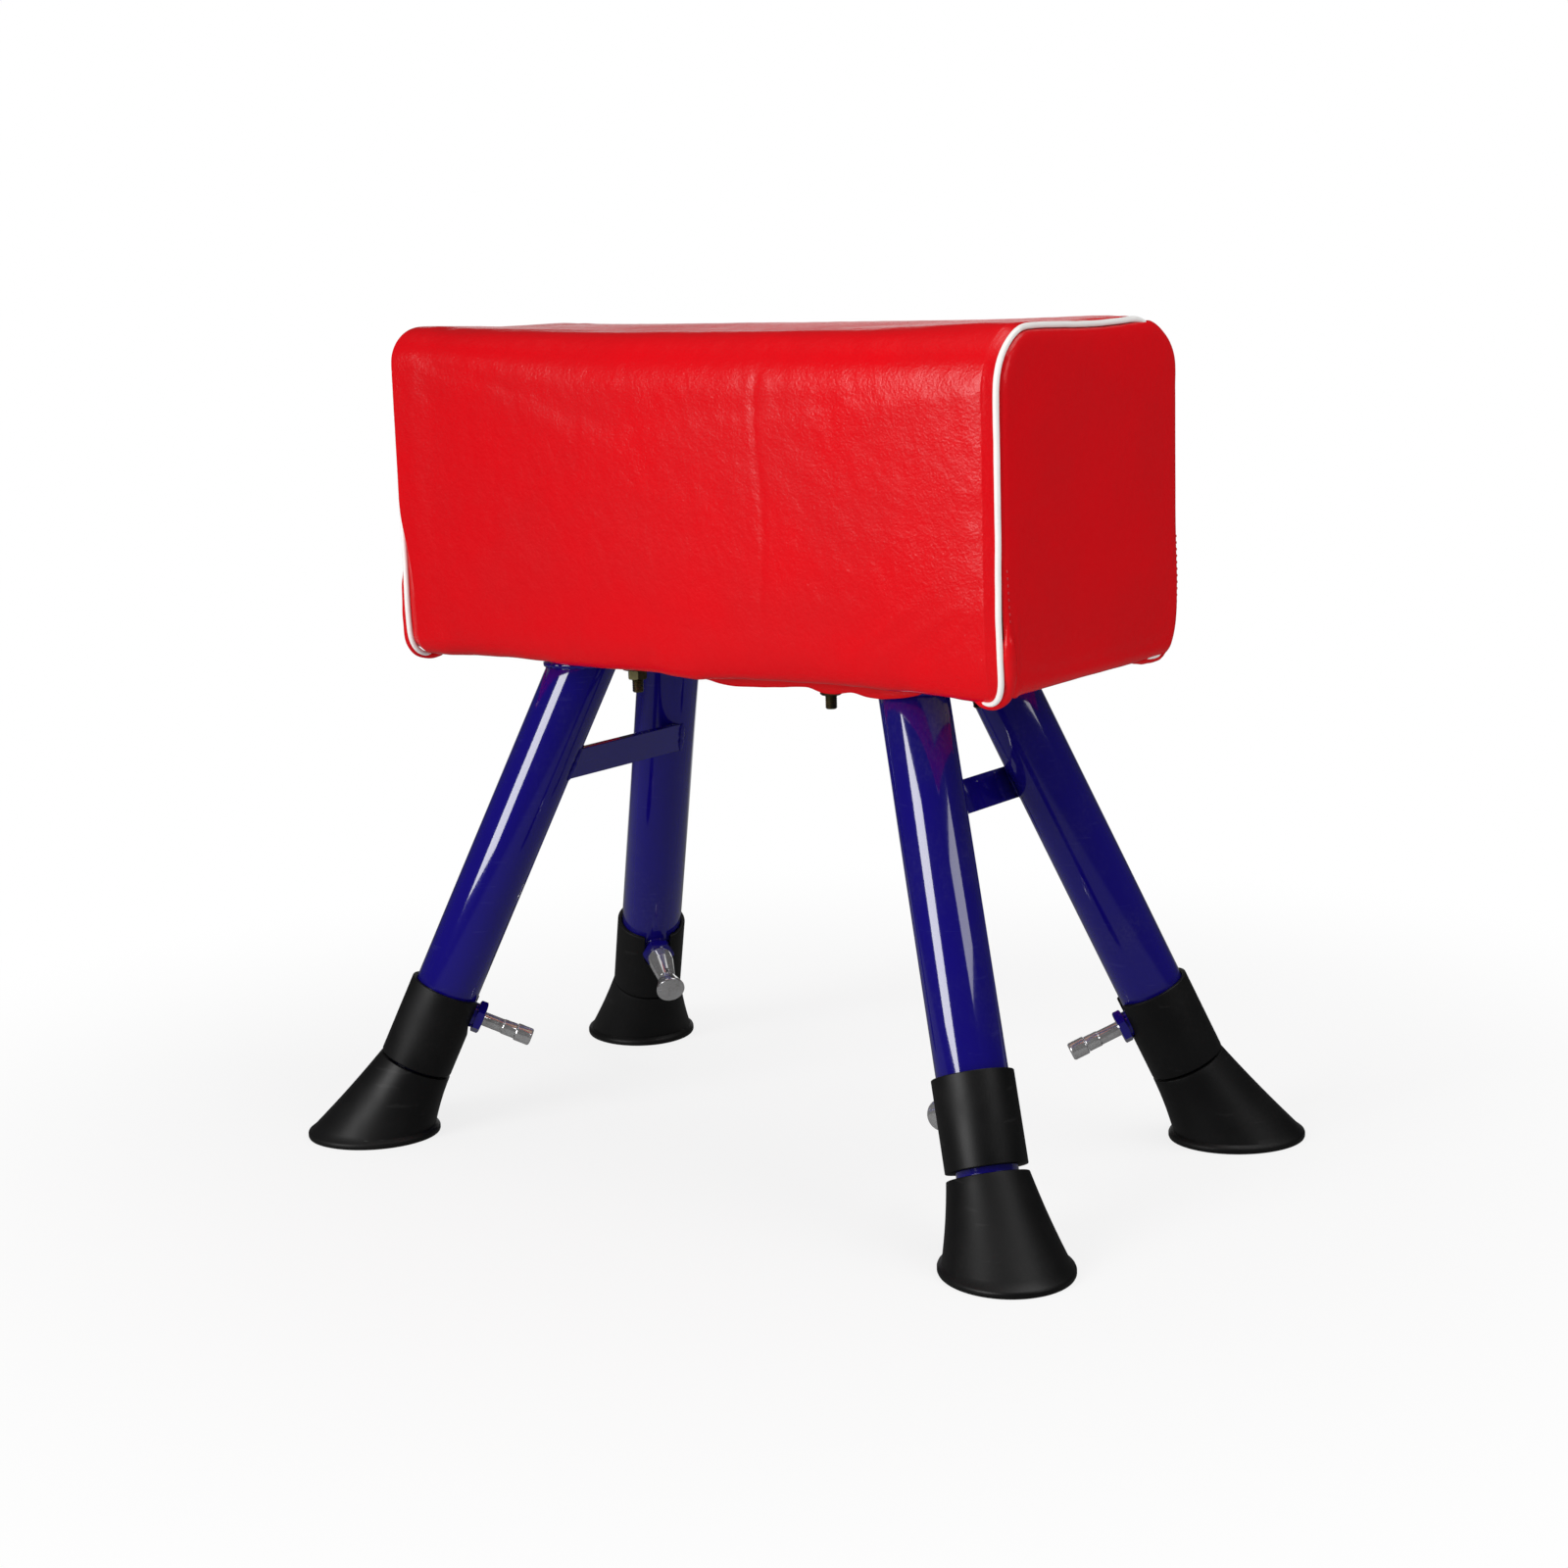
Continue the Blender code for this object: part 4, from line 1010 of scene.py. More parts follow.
def wrap_rows():
    """Rows along the body: the share of the flat length, and the turn of the roll at the ends."""
    turns = [math.pi / 2 * (1 - step / ROLL_STEPS) for step in range(ROLL_STEPS)]
    flat = [(2 * step / WRAP_ALONG - 1, 0.0) for step in range(WRAP_ALONG + 1)]
    return [(-1.0, turn) for turn in turns] + flat + [(1.0, turn) for turn in reversed(turns)]


def tucked(sign, z):
    """How far the left end's seam is drawn in under the wrap, above its lower part."""
    return smooth(0.600, 0.690, z) if sign < 0 else 0.0


def seam_place(sign, z):
    """How far from the middle the seam between wrap and end panel runs."""
    return SEAM_X + 0.0060 * tucked(sign, z)


def seam_inset(sign, y, z):
    """How deep the piping's centre lies below the plain section."""
    inset = PIPING_INSET + 0.0044 * tucked(sign, z)
    if sign > 0:
        corner = smooth(0.100, 0.130, y) * smooth(0.800, 0.835, z)
        low = smooth(0.165, 0.172, y) * smooth(0.700, 0.620, z)
        inset += 0.0032 * smooth(0.085, 0.125, y) + 0.0034 * corner + 0.0045 * low
    return inset


def wrap_point(row, here, normal):
    """A point of the wrap from its row, its place on the section and the outward direction."""
    share, turn = row
    sign = -1 if share < 0 else 1
    tight = tucked(sign, here.y)
    length = ROLL_LENGTH + (ROLL_LENGTH_TIGHT - ROLL_LENGTH) * tight
    depth = seam_inset(sign, here.x, here.y) + ROLL_DEPTH
    x = share * (seam_place(sign, here.y) - length) + sign * length * (1 - math.cos(turn))
    bulge = 0.0025 * tight * math.cos(turn) * smooth(0.85, 1.0, abs(share))
    here = here - normal * (depth * (1 - math.cos(turn)) - bulge)
    point = Vector((x, here.x, here.y))
    if abs(point.y) < HEM_OUT + HEM_ROLL and point.z < BODY_BOTTOM + 0.001:
        # The loose edge hangs lower in places, and lies flat towards the ends
        reach = 1 - smooth(0.284, 0.304, abs(x))
        drop = UNDERSIDE - point.z
        if point.y < 0:
            length = (UNDERSIDE - along_curve(FRONT_HEM, x)) / HEM_DROP
        else:
            length = 0.40 + 0.40 * noise.noise(Vector((x * 16, 9.4, 1.7)))
        point.z = UNDERSIDE - drop * length * reach
        side = 1 if point.y > 0 else -1
        lumps = 0.0030 * noise.noise(Vector((x * 26, 7.0 * side, point.z * 25)))
        point.y += side * max(-0.0006, lumps) * reach * smooth(0.0, 0.004, drop)
    return settled(point)


def make_wrap():
    """The leather over the front, top and back, rolled in at its end seams."""
    rows = wrap_rows()
    section = outline_of(whole_section(), WRAP_ACROSS)

    def place(across, along):
        row = rows[round(along * (len(rows) - 1))]
        return wrap_point(row, *section[round(across * WRAP_ACROSS)])

    bm = surface(WRAP_ACROSS, len(rows) - 1, place)
    top = max(bm.faces, key=lambda face: face.calc_center_median().z)
    if top.normal.z < 0:
        bmesh.ops.reverse_faces(bm, faces=bm.faces)
    bm.normal_update()
    piece = add_leather("leather_wrap_cover", bm, ("leather_wrap",))
    upholster(piece, wrap_held, 0.0008, 0.0018, wrap_folds)


def wrap_held(point):
    """How firmly the wrap is held at a point: by its end seams and along its hems."""
    near_seam = smooth(END_X - 0.022, END_X - 0.010, abs(point.x))
    return max(near_seam, smooth(0.545, 0.530, point.z))


# Wrinkles low on the front: the way each runs, its middle's place along the body, and its reach
DRAWN_WRINKLES = ((0.62, 0.245, 0.05), (0.5, 0.285, 0.06), (0.75, 0.325, 0.045))


def wrap_folds(point, normal):
    """Low waves, the faint upright crease on the front and the wrinkles at its lower right."""
    x, y, z = point
    lift = 0.0005 * noise.noise(Vector((x * 9, y * 9, z * 9)))
    lift += 0.00018 * noise.noise(Vector((x * 34, y * 34, z * 34)))
    lift += 0.00022 * noise.noise(Vector((x * 70 + z * 20, y * 30, z * 38)))
    if abs(x) > END_X - 0.012:
        lift *= 0.3
    front = smooth(0.168, 0.174, -y) if y < 0 else 0.0
    if front:
        crease = x - 0.105 - 0.004 * math.sin(z * 30)
        lift -= 0.0007 * front * math.exp(-((crease / 0.004) ** 2)) * smooth(0.56, 0.62, z)
        for turn, where, reach in DRAWN_WRINKLES:
            run = (x - where) * math.cos(turn) + (z - 0.585) * math.sin(turn)
            off = -(x - where) * math.sin(turn) + (z - 0.585) * math.cos(turn)
            fade = math.exp(-((run / reach) ** 2)) * math.exp(-((off / 0.006) ** 2))
            lift += 0.0009 * front * fade
    return normal * lift


# End panels

PANEL_STEPS = 44
# The panel's rim: how wide it rolls up and how high it rises, and the wider turn at the bottom
PANEL_ROLL = 0.0100
PANEL_RISE = 0.0058
PANEL_TURN = 0.0105
# How far the panel swells at its middle, and low down
PANEL_CROWN = 0.0024
PANEL_FAT = 0.0022
# The steps in which the panel's lower rim is drawn out under the body, along and up
PANEL_HEM = ((-0.004, 0.0), (-0.012, 0.0003), (-0.018, 0.0003), (-0.018, 0.0))


def end_outline(sign, count):
    """The closed rim of an end panel, from the middle of its bottom, +Y side first."""
    low = [(0.0, BODY_BOTTOM), (0.07, BODY_BOTTOM)]
    points = low + body_half("back") + mirrored(body_half("front")) + mirrored(low)
    placed = outline_of(points, count)
    rim = []
    for index, (here, normal) in enumerate(placed):
        if index in (0, count):
            normal = Vector((0, -1))
        under = smooth(0.150, 0.136, abs(here.x)) if here.y < BODY_BOTTOM + 0.02 else 0.0
        inset = seam_inset(sign, here.x, here.y) + PIPING_RADIUS + 0.0002
        if sign > 0:
            corner = smooth(0.100, 0.130, here.x) * smooth(0.800, 0.835, here.y)
            low = smooth(0.165, 0.172, here.x) * smooth(0.700, 0.620, here.y)
            inset -= 0.0052 * smooth(0.085, 0.125, here.x) + 0.0064 * corner + 0.0040 * low
        inset += (0.0004 - inset) * under
        rim.append(here - normal * inset)
    return rim


def panel_point(sign, across, up, outline):
    """A point of an end panel from its place on a square grid, laid out in rings."""
    count = len(outline) - 1
    middle = Vector((0, BODY_BOTTOM + BODY_HEIGHT / 2))
    ring = max(abs(across), abs(up))
    edge = outline[0]
    if ring > 1e-6:
        a, b = across / ring, up / ring
        # The walk round the square's rim, from the middle of its lower side
        if b <= -0.9999:
            walk = a / 8
        elif a >= 0.9999:
            walk = (2 + b) / 8
        elif b >= 0.9999:
            walk = (4 - a) / 8
        else:
            walk = (6 - b) / 8
        edge = outline[round((walk % 1.0) * count)]
    # Rings crowd towards the rim
    scale = 1 - (1 - ring) ** 1.5
    here = middle + (edge - middle) * scale
    from_rim = (1 - scale) * (edge - middle).length
    roll = min(1.0, from_rim / PANEL_ROLL)
    rise = PANEL_RISE * math.sqrt(1 - (1 - roll) ** 2)
    # Along the bottom the panel turns under in a wide curve instead
    low = smooth(0.165, 0.140, abs(here.x)) * smooth(0.62, 0.56, here.y)
    from_below = min(1.0, max(0.0, here.y - BODY_BOTTOM) / PANEL_TURN)
    turned_rise = PANEL_RISE - PANEL_TURN * (1 - math.sqrt(1 - (1 - from_below) ** 2))
    rise += (turned_rise - rise) * low
    crown = PANEL_CROWN * (1 - scale**2.2)
    fat = PANEL_FAT * math.exp(-(((here.y - 0.585) / 0.05) ** 2)) * smooth(0.2, 0.9, scale)
    moved = settled(Vector((sign * SEAM_X, here.x, here.y)))
    return Vector((sign * (END_X + 0.0002 + rise + crown + fat * (1 - low)), moved.y, moved.z))


def make_end_panel(side, sign):
    """A crowned panel from a square grid, turned under along its bottom."""
    outline = end_outline(sign, 4 * PANEL_STEPS)
    bm = bmesh.new()
    bmesh.ops.create_grid(bm, x_segments=PANEL_STEPS, y_segments=PANEL_STEPS, size=1)
    for vert in bm.verts:
        vert.co = panel_point(sign, vert.co.x, vert.co.y, outline)
    bm.normal_update()
    outward = sum(face.normal.x * face.calc_area() for face in bm.faces) * sign
    if outward < 0:
        bmesh.ops.reverse_faces(bm, faces=bm.faces)
    # Turned under: the lower rim is drawn out along the bottom
    rim = [
        edge
        for edge in bm.edges
        if edge.is_boundary
        and all(v.co.z < BODY_BOTTOM + 0.003 and abs(v.co.y) < 0.145 for v in edge.verts)
    ]
    for move_x, move_z in PANEL_HEM:
        made = bmesh.ops.extrude_edge_only(bm, edges=rim)["geom"]
        verts = [item for item in made if isinstance(item, bmesh.types.BMVert)]
        for vert in verts:
            wave = 0.0006 * noise.noise(Vector((vert.co.x * 60, vert.co.y * 40, sign * 2.0)))
            vert.co += Vector((sign * move_x, 0, move_z + wave))
        fresh = set(verts)
        rim = [
            item
            for item in made
            if isinstance(item, bmesh.types.BMEdge) and all(v in fresh for v in item.verts)
        ]
    bm.normal_update()
    piece = add_leather("leather_panel_" + side, bm, ("leather_end_" + side,))
    upholster(piece, panel_held, 0.0005, 0.0014, panel_folds)
    return piece


def panel_held(point):
    """How firmly an end panel is held at a point: round its rim and under the body."""
    near_rim = 1 - smooth(0.2, 1.0, (abs(point.x) - END_X - 0.001) / 0.004)
    return max(near_rim, smooth(BODY_BOTTOM + 0.03, BODY_BOTTOM + 0.012, point.z))


def panel_folds(point, normal):
    """Low waves, and the pleat beside the piping at the right end's lower front corner."""
    x, y, z = point
    lift = 0.0005 * noise.noise(Vector((x * 9, y * 11, z * 11)))
    lift += 0.00015 * noise.noise(Vector((x * 30, y * 40, z * 40)))
    if x > 0 and abs(x) > END_X + 0.003 and y < -0.13:
        tall = smooth(0.528, 0.545, z) * smooth(0.640, 0.585, z)
        line = y + 0.1515 + 0.05 * (z - 0.56)
        lift += 0.0011 * tall * math.exp(-((line / 0.0028) ** 2))
        lift -= 0.0016 * tall * math.exp(-(((line + 0.0062) / 0.0030) ** 2))
    return normal * lift


def even_path(points, step):
    """A space curve through points, smoothed and spaced evenly."""
    path = [Vector(point) for point in points]
    total = sum((after - before).length for before, after in zip(path, path[1:]))
    count = max(4, round(total / step))
    spaced = []
    index, passed = 0, 0.0
    for number in range(count + 1):
        wanted = total * number / count
        while index < len(path) - 2 and passed + (path[index + 1] - path[index]).length < wanted:
            passed += (path[index + 1] - path[index]).length
            index += 1
        span = (path[index + 1] - path[index]).length
        spaced.append(path[index].lerp(path[index + 1], min(1.0, (wanted - passed) / span)))
    for _ in range(6):
        inner = [(a + 2 * b + c) / 4 for a, b, c in zip(spaced, spaced[1:], spaced[2:])]
        spaced = [spaced[0]] + inner + [spaced[-1]]
    return spaced


def cord_mesh(path, sides, size_at):
    """A round cord along a path, its radius a function of the share along it, with round ends."""
    count = len(path) - 1

    def place(turn, share):
        index = round(share * count)
        here = path[index]
        run = (path[min(count, index + 1)] - path[max(0, index - 1)]).normalized()
        side = run.cross(Vector((0.05, 0.95, 0.31))).normalized()
        lift = run.cross(side)
        angle = 2 * math.pi * turn
        size = size_at(share)
        if index in (0, count):
            size = 0.0
        return here + (side * math.cos(angle) + lift * math.sin(angle)) * size

    return surface(sides, count, place)


# Where the piping leaves the section near a lower corner and turns in under the body
CORNER_TAILS = {
    "plain": [
        (0.3702, 0.1668, 0.5400),
        (0.3682, 0.1655, 0.5315),
        (0.3640, 0.1632, 0.5248),
        (0.3575, 0.1605, 0.5206),
        (0.3505, 0.1585, 0.5192),
        (0.3440, 0.1570, 0.5203),
        (0.3375, 0.1558, 0.5226),
    ],
    "right_back": [
        (0.3665, 0.1630, 0.5450),
        (0.3665, 0.1550, 0.5365),
        (0.3685, 0.1450, 0.5308),
        (0.3722, 0.1340, 0.5286),
        (0.3730, 0.1220, 0.5281),
        (0.3722, 0.1100, 0.5285),
        (0.3685, 0.1000, 0.5310),
    ],
    "left_front": [
        (0.3708, 0.1712, 0.5450),
        (0.3708, 0.1685, 0.5370),
        (0.3708, 0.1630, 0.5300),
        (0.3706, 0.1550, 0.5250),
        (0.3700, 0.1470, 0.5222),
        (0.3670, 0.1400, 0.5222),
        (0.3610, 0.1340, 0.5270),
    ],
}
# Stitches: how far out and up the first one sits, and their count, pitch and length
STITCH_OUT = 0.1615
STITCH_LOW = 0.560
STITCH_COUNT = 14
STITCH_PITCH = 0.0066
STITCH_LENGTH = 0.0034
# The end panel's leather folded out beyond the piping: place, and the fold's radius
CORNER_FOLDS = {
    "plain": [
        (0.3755, 0.1630, 0.6150, 0.0012),
        (0.3755, 0.1625, 0.5900, 0.0022),
        (0.3752, 0.1612, 0.5680, 0.0036),
        (0.3745, 0.1590, 0.5520, 0.0060),
        (0.3728, 0.1570, 0.5395, 0.0074),
        (0.3690, 0.1555, 0.5292, 0.0074),
        (0.3630, 0.1553, 0.5228, 0.0064),
        (0.3560, 0.1548, 0.5196, 0.0060),
        (0.3480, 0.1545, 0.5186, 0.0055),
        (0.3400, 0.1540, 0.5206, 0.0048),
        (0.3320, 0.1530, 0.5250, 0.0034),
    ],
    "left_front": [
        (0.3745, 0.1670, 0.6350, 0.0008),
        (0.3752, 0.1695, 0.6150, 0.0022),
        (0.3755, 0.1709, 0.5925, 0.0035),
        (0.3755, 0.1709, 0.5550, 0.0038),
        (0.3754, 0.1682, 0.5375, 0.0042),
        (0.3748, 0.1590, 0.5262, 0.0046),
        (0.3720, 0.1480, 0.5215, 0.0044),
        (0.3660, 0.1400, 0.5205, 0.0036),
        (0.3580, 0.1340, 0.5240, 0.0020),
    ],
    "right_back": [
        (0.3700, 0.1520, 0.5420, 0.0010),
        (0.3712, 0.1440, 0.5305, 0.0030),
        (0.3700, 0.1320, 0.5262, 0.0037),
        (0.3690, 0.1200, 0.5258, 0.0037),
        (0.3680, 0.1050, 0.5260, 0.0035),
        (0.3670, 0.0900, 0.5272, 0.0024),
        (0.3660, 0.0780, 0.5290, 0.0010),
    ],
}


def corner_line(table, side, edge):
    """A corner's points from a table, turned to its end and side."""
    points = table.get(f"{side}_{edge}", table["plain"])
    across = -1 if edge == "front" else 1
    return [(SIDES[side] * x, across * y, *rest) for x, y, *rest in points]


def make_piping(side, sign):
    """The welt cord round one end, its tails tucked under the lower corners."""
    section = body_half("back") + mirrored(body_half("front"))
    line = []
    for here, normal in outline_of(section, 300):
        inner = here - normal * seam_inset(sign, *here)
        point = settled(Vector((sign * (seam_place(sign, here.y) + 0.0008), *inner)))
        if point.z > 0.5475:
            line.append(point)
    back_tail = list(reversed(corner_line(CORNER_TAILS, side, "back")))
    path = even_path(back_tail + line + corner_line(CORNER_TAILS, side, "front"), 0.0035)
    for point in path:
        point.x += 0.0003 * noise.noise(point * 30 + Vector((sign, 0, 0)))

    def size_at(share):
        thin = 0.40 * smooth(0.965, 1.0, share)
        if sign > 0:
            thin = max(thin, 0.45 * smooth(0.055, 0.035, share))
        uneven = 1 + 0.04 * noise.noise(Vector((share * 60, sign, 0)))
        return PIPING_RADIUS * (1 - thin) * uneven

    bm = cord_mesh(path, 16, size_at)
    replaced = ("piping_" + side,)
    add_piece("piping_cord_" + side, bm, WHITE, "buck", replaced, smooth_below=60)


def make_stitches(panel, side, sign):
    """The seam's stitches that show on the end panel, low beside the piping."""
    tree = BVHTree.FromObject(panel, bpy.context.evaluated_depsgraph_get())
    parts = []
    for edge in (-1, 1):
        for number in range(STITCH_COUNT):
            height = STITCH_LOW + STITCH_PITCH * number
            path = []
            # Five points, of which the two outer ones dip into the leather
            for step in (-2, -1, 0, 1, 2):
                z = height + STITCH_LENGTH * step / 4
                out = STITCH_OUT + 0.02 * (z - STITCH_LOW)
                start = Vector((sign * (END_X + 0.1), edge * out, z))
                place, normal = tree.ray_cast(start, Vector((-sign, 0, 0)))[:2]
                if place is None:
                    break
                path.append(place + normal * (0.0002 if abs(step) < 2 else -0.0004))
            if len(path) == 5:
                size = 0.00065 + 0.00015 * noise.noise(Vector((height * 90, edge, sign)))
                parts.append(cord_mesh(path, 8, lambda share, size=size: size))
    name = "seam_stitches_" + side
    add_piece(name, joined(*parts), RED_THREAD, "buck", smooth_below=60)


def make_corner_fold(side, edge):
    """The end panel's leather, folded out round the piping at a lower corner."""
    line = corner_line(CORNER_FOLDS, side, edge)
    path = even_path([point[:3] for point in line], 0.0030)
    sizes = [(number / (len(line) - 1), point[3]) for number, point in enumerate(line)]
    seed = SIDES[side] * 2.0 + (1 if edge == "back" else -1)

    def size_at(share):
        return along_curve(sizes, share) * (1 + 0.15 * noise.noise(Vector((share * 7, seed, 0.4))))

    add_leather(f"leather_fold_{side}_{edge}", cord_mesh(path, 20, size_at))


def make_foam():
    """The padding under the leather, its plain shape settled as the leather is."""
    for name in ("foam_wrap", "foam_end_left", "foam_end_right"):
        bm = bmesh.new()
        bm.from_mesh(frame["nodes"][name].data)
        bmesh.ops.remove_doubles(bm, verts=bm.verts, dist=MERGE)
        if name == "foam_wrap":
            # Cut across every 30 mm, so that its long faces can settle too
            for station in range(-11, 12):
                geom = list(bm.verts) + list(bm.edges) + list(bm.faces)
                bmesh.ops.bisect_plane(
                    bm, geom=geom, plane_co=(station * 0.03, 0, 0), plane_no=(1, 0, 0)
                )
        for vert in bm.verts:
            vert.co = settled(vert.co)
        add_piece(name + "_settled", bm, FOAM, "buck", (name,))


# Leg carriage


def refined(node, width):
    """A copy of a CAD node, merged, its flats made whole and its edges rounded."""
    bm = bmesh.new()
    bm.from_mesh(frame["nodes"][node].data)
    bmesh.ops.remove_doubles(bm, verts=bm.verts, dist=MERGE)
    bmesh.ops.dissolve_limit(
        bm, angle_limit=math.radians(1), verts=bm.verts, edges=bm.edges, delimit=set()
    )
    bm.normal_update()
    sharp = [
        edge
        for edge in bm.edges
        if len(edge.link_faces) == 2 and edge.calc_face_angle(0) > math.radians(50)
    ]
    bmesh.ops.bevel(
        bm,
        geom=sharp,
        offset=width,
        offset_type="OFFSET",
        segments=2,
        profile=0.5,
        affect="EDGES",
        material=-1,
        clamp_overlap=True,
    )
    return bm


def make_plates():
    """The two steel plates under the body."""
    for side in SIDES:
        bm = refined("leg_plate_" + side, 0.0008)
        add_piece("steel_plate_" + side, bm, PAINT, "buck", ("leg_plate_" + side,))


def thread_profile(radius, low, high, pitch=0.00175, depth=0.0006):
    """A threaded length as a run of ridges, from low to high."""
    points = []
    count = max(1, int((high - low) / pitch))
    for turn in range(count):
        start = low + turn * pitch
        points.append((radius - depth, start))
        points += [(radius, start + pitch * 0.45), (radius, start + pitch * 0.55)]
    return points + [(radius - depth, low + count * pitch)]


def hex_blank(flats, low, high, easing):
    """A hexagon with its corners turned off at both faces."""
    corner = flats / math.sqrt(3)
    prism = cylinder(corner, low, high, 6)
    outer = flats / 2 * 0.97
    profile = [
        (0, low - HEX_SPARE),
        (outer, low - HEX_SPARE),
        (corner + 2 * HEX_SPARE, low + easing),
        (corner + 2 * HEX_SPARE, high - easing),
        (outer, high + HEX_SPARE),
        (0, high + HEX_SPARE),
    ]
    return shaped(prism, [("INTERSECT", turned(profile, 48))])


def bolt_mesh():
    """A carriage bolt with its washer and nut, about its own axis."""
    washer_top = PLATE_BOTTOM - GAP
    nut_top = washer_top - WASHER_THICKNESS
    nut_low = nut_top - NUT_HEIGHT
    tip = nut_low - BOLT_END
    head = [(radius, BOLT_SEAT + rise) for radius, rise in BOLT_HEAD]
    shank = head + [(BOLT_RADIUS, BOLT_SEAT), (BOLT_RADIUS, nut_top + 0.001)]
    threads = list(reversed(thread_profile(BOLT_RADIUS, tip + 0.0008, nut_top)))
    shank += threads + [(BOLT_RADIUS - 0.0012, tip), (0, tip)]
    washer = [
        (WASHER_RADIUS, washer_top),
        (WASHER_RADIUS, nut_top),
        (BOLT_HOLE_RADIUS, nut_top),
        (BOLT_HOLE_RADIUS, washer_top),
    ]
    return joined(
        turned(shank, 32),
        turned(filleted(washer, 0.0004, 2, closed=True), 48, closed=True),
        hex_blank(NUT_FLATS, nut_low, nut_top, HEX_EASING),
    )


def make_bolts():
    """Four carriage bolts through each plate."""
    for side, sign in SIDES.items():
        for edge, across in {"front": -1, "back": 1}.items():
            corner = (LEG_TOP_X - CORNER_BOLT_IN, LEG_TOP_Y + CORNER_BOLT_BESIDE)
            middle = (LEG_TOP_X + MIDDLE_BOLT_OUT, MIDDLE_BOLT_Y)
            for label, (x, y) in {"corner": corner, "middle": middle}.items():
                name = f"{side}_{edge}_{label}"
                # Each nut stopped at its own turn
                turn = Matrix.Rotation(0.7 * sign + 1.9 * across + x * 10, 4, "Z")
                place = Matrix.Translation((sign * x, across * y, 0)) @ turn
                add_piece(
                    "carriage_bolt_" + name,
                    bolt_mesh(),
                    ZINC,
                    "buck",
                    ("plate_bolt_" + name,),
                    place,
                )


def make_braces():
    """The flat bars between the legs of each pair, with their welds."""
    for side, sign in SIDES.items():
        bm = refined("brace_" + side, 0.0009)
        rise = PLATE_BOTTOM - BRACE_BELOW_PLATE[side]
        tilt = math.atan(LEG_RUN_X)
        axis_x = LEG_FOOT_X - LEG_RUN_X * rise
        axis_y = LEG_FOOT_Y - LEG_RUN_Y * rise
        from_axis = OUTER_RADIUS - BRACE_INSET - BRACE_THICKNESS / 2
        centre = Vector((sign * (axis_x - from_axis / math.cos(tilt)), 0, rise))
        up = Vector((-sign * math.sin(tilt), 0, math.cos(tilt)))
        inward = Vector((-sign * math.cos(tilt), 0, -math.sin(tilt)))
        beads = []
        for across in (-1, 1):
            leg = next(name for name, signs in LEGS.items() if signs == (sign, across))
            to_leg = leg_frame(leg).inverted()
            for face in (-1, 1):
                path = []
                for step in range(15):
                    height = BRACE_HEIGHT * (step / 14 - 0.5) * 1.04
                    base = centre + up * height + inward * (face * BRACE_THICKNESS / 2)
                    # The place on the leg tube's surface, found by halving
                    near, far = 0.5 * axis_y, axis_y
                    for _ in range(30):
                        test = (near + far) / 2
                        local = to_leg @ Vector((base.x, across * test, base.z))
                        if math.hypot(local.x, local.y) > OUTER_RADIUS:
                            near = test
                        else:
                            far = test
                    point = Vector((base.x, across * near, base.z)) + inward * (face * 0.0006)
                    path.append(point)
                beads.append(bead(path, 0.0030, 0.16, across * 2 + face, closed=False))
        add_piece("brace_bar_" + side, bm, PAINT, "buck", ("brace_" + side,))
        welds = joined(*beads)
        add_piece("brace_welds_" + side, welds, PAINT, "buck", smooth_below=60)


# Legs


def tube_wall(radius, bore, low, high, easing):
    """The outline of a tube's wall, its edges eased."""
    profile = [(bore, high), (radius, high), (radius, low), (bore, low)]
    return filleted(profile, easing, 2, closed=True)


def make_outer_tube(leg, place):
    """An outer tube cut to the plate, drilled for the pin, with its weld."""
    top = along_for_height(0, PLATE_BOTTOM)
    bm = turned(tube_wall(OUTER_RADIUS, OUTER_BORE, OUTER_LOW, top, 0.0006), 96, closed=True)
    for vert in bm.verts:
        if vert.co.z > 0.4:
            vert.co.z += along_for_height(vert.co.x, PLATE_BOTTOM - GAP) - top
    hole = cylinder(0.006, 0, BOSS_FACE, 32, PLUNGER)
    bm = shaped(bm, [("DIFFERENCE", hole)])
    add_piece("leg_tube_" + leg, bm, PAINT, "buck", ("outer_tube_" + leg,), place)
    path = []
    for step in range(72):
        angle = 2 * math.pi * step / 72
        reach = OUTER_RADIUS + 0.0012
        across = reach * math.cos(angle)
        point = (across, reach * math.sin(angle), along_for_height(across, PLATE_BOTTOM - 0.0016))
        path.append(place @ Vector(point))
    weld = bead(path, 0.0034, 0.14, 3.0 + LEGS[leg][0], closed=True)
    add_piece("tube_weld_" + leg, weld, PAINT, "buck", smooth_below=60)


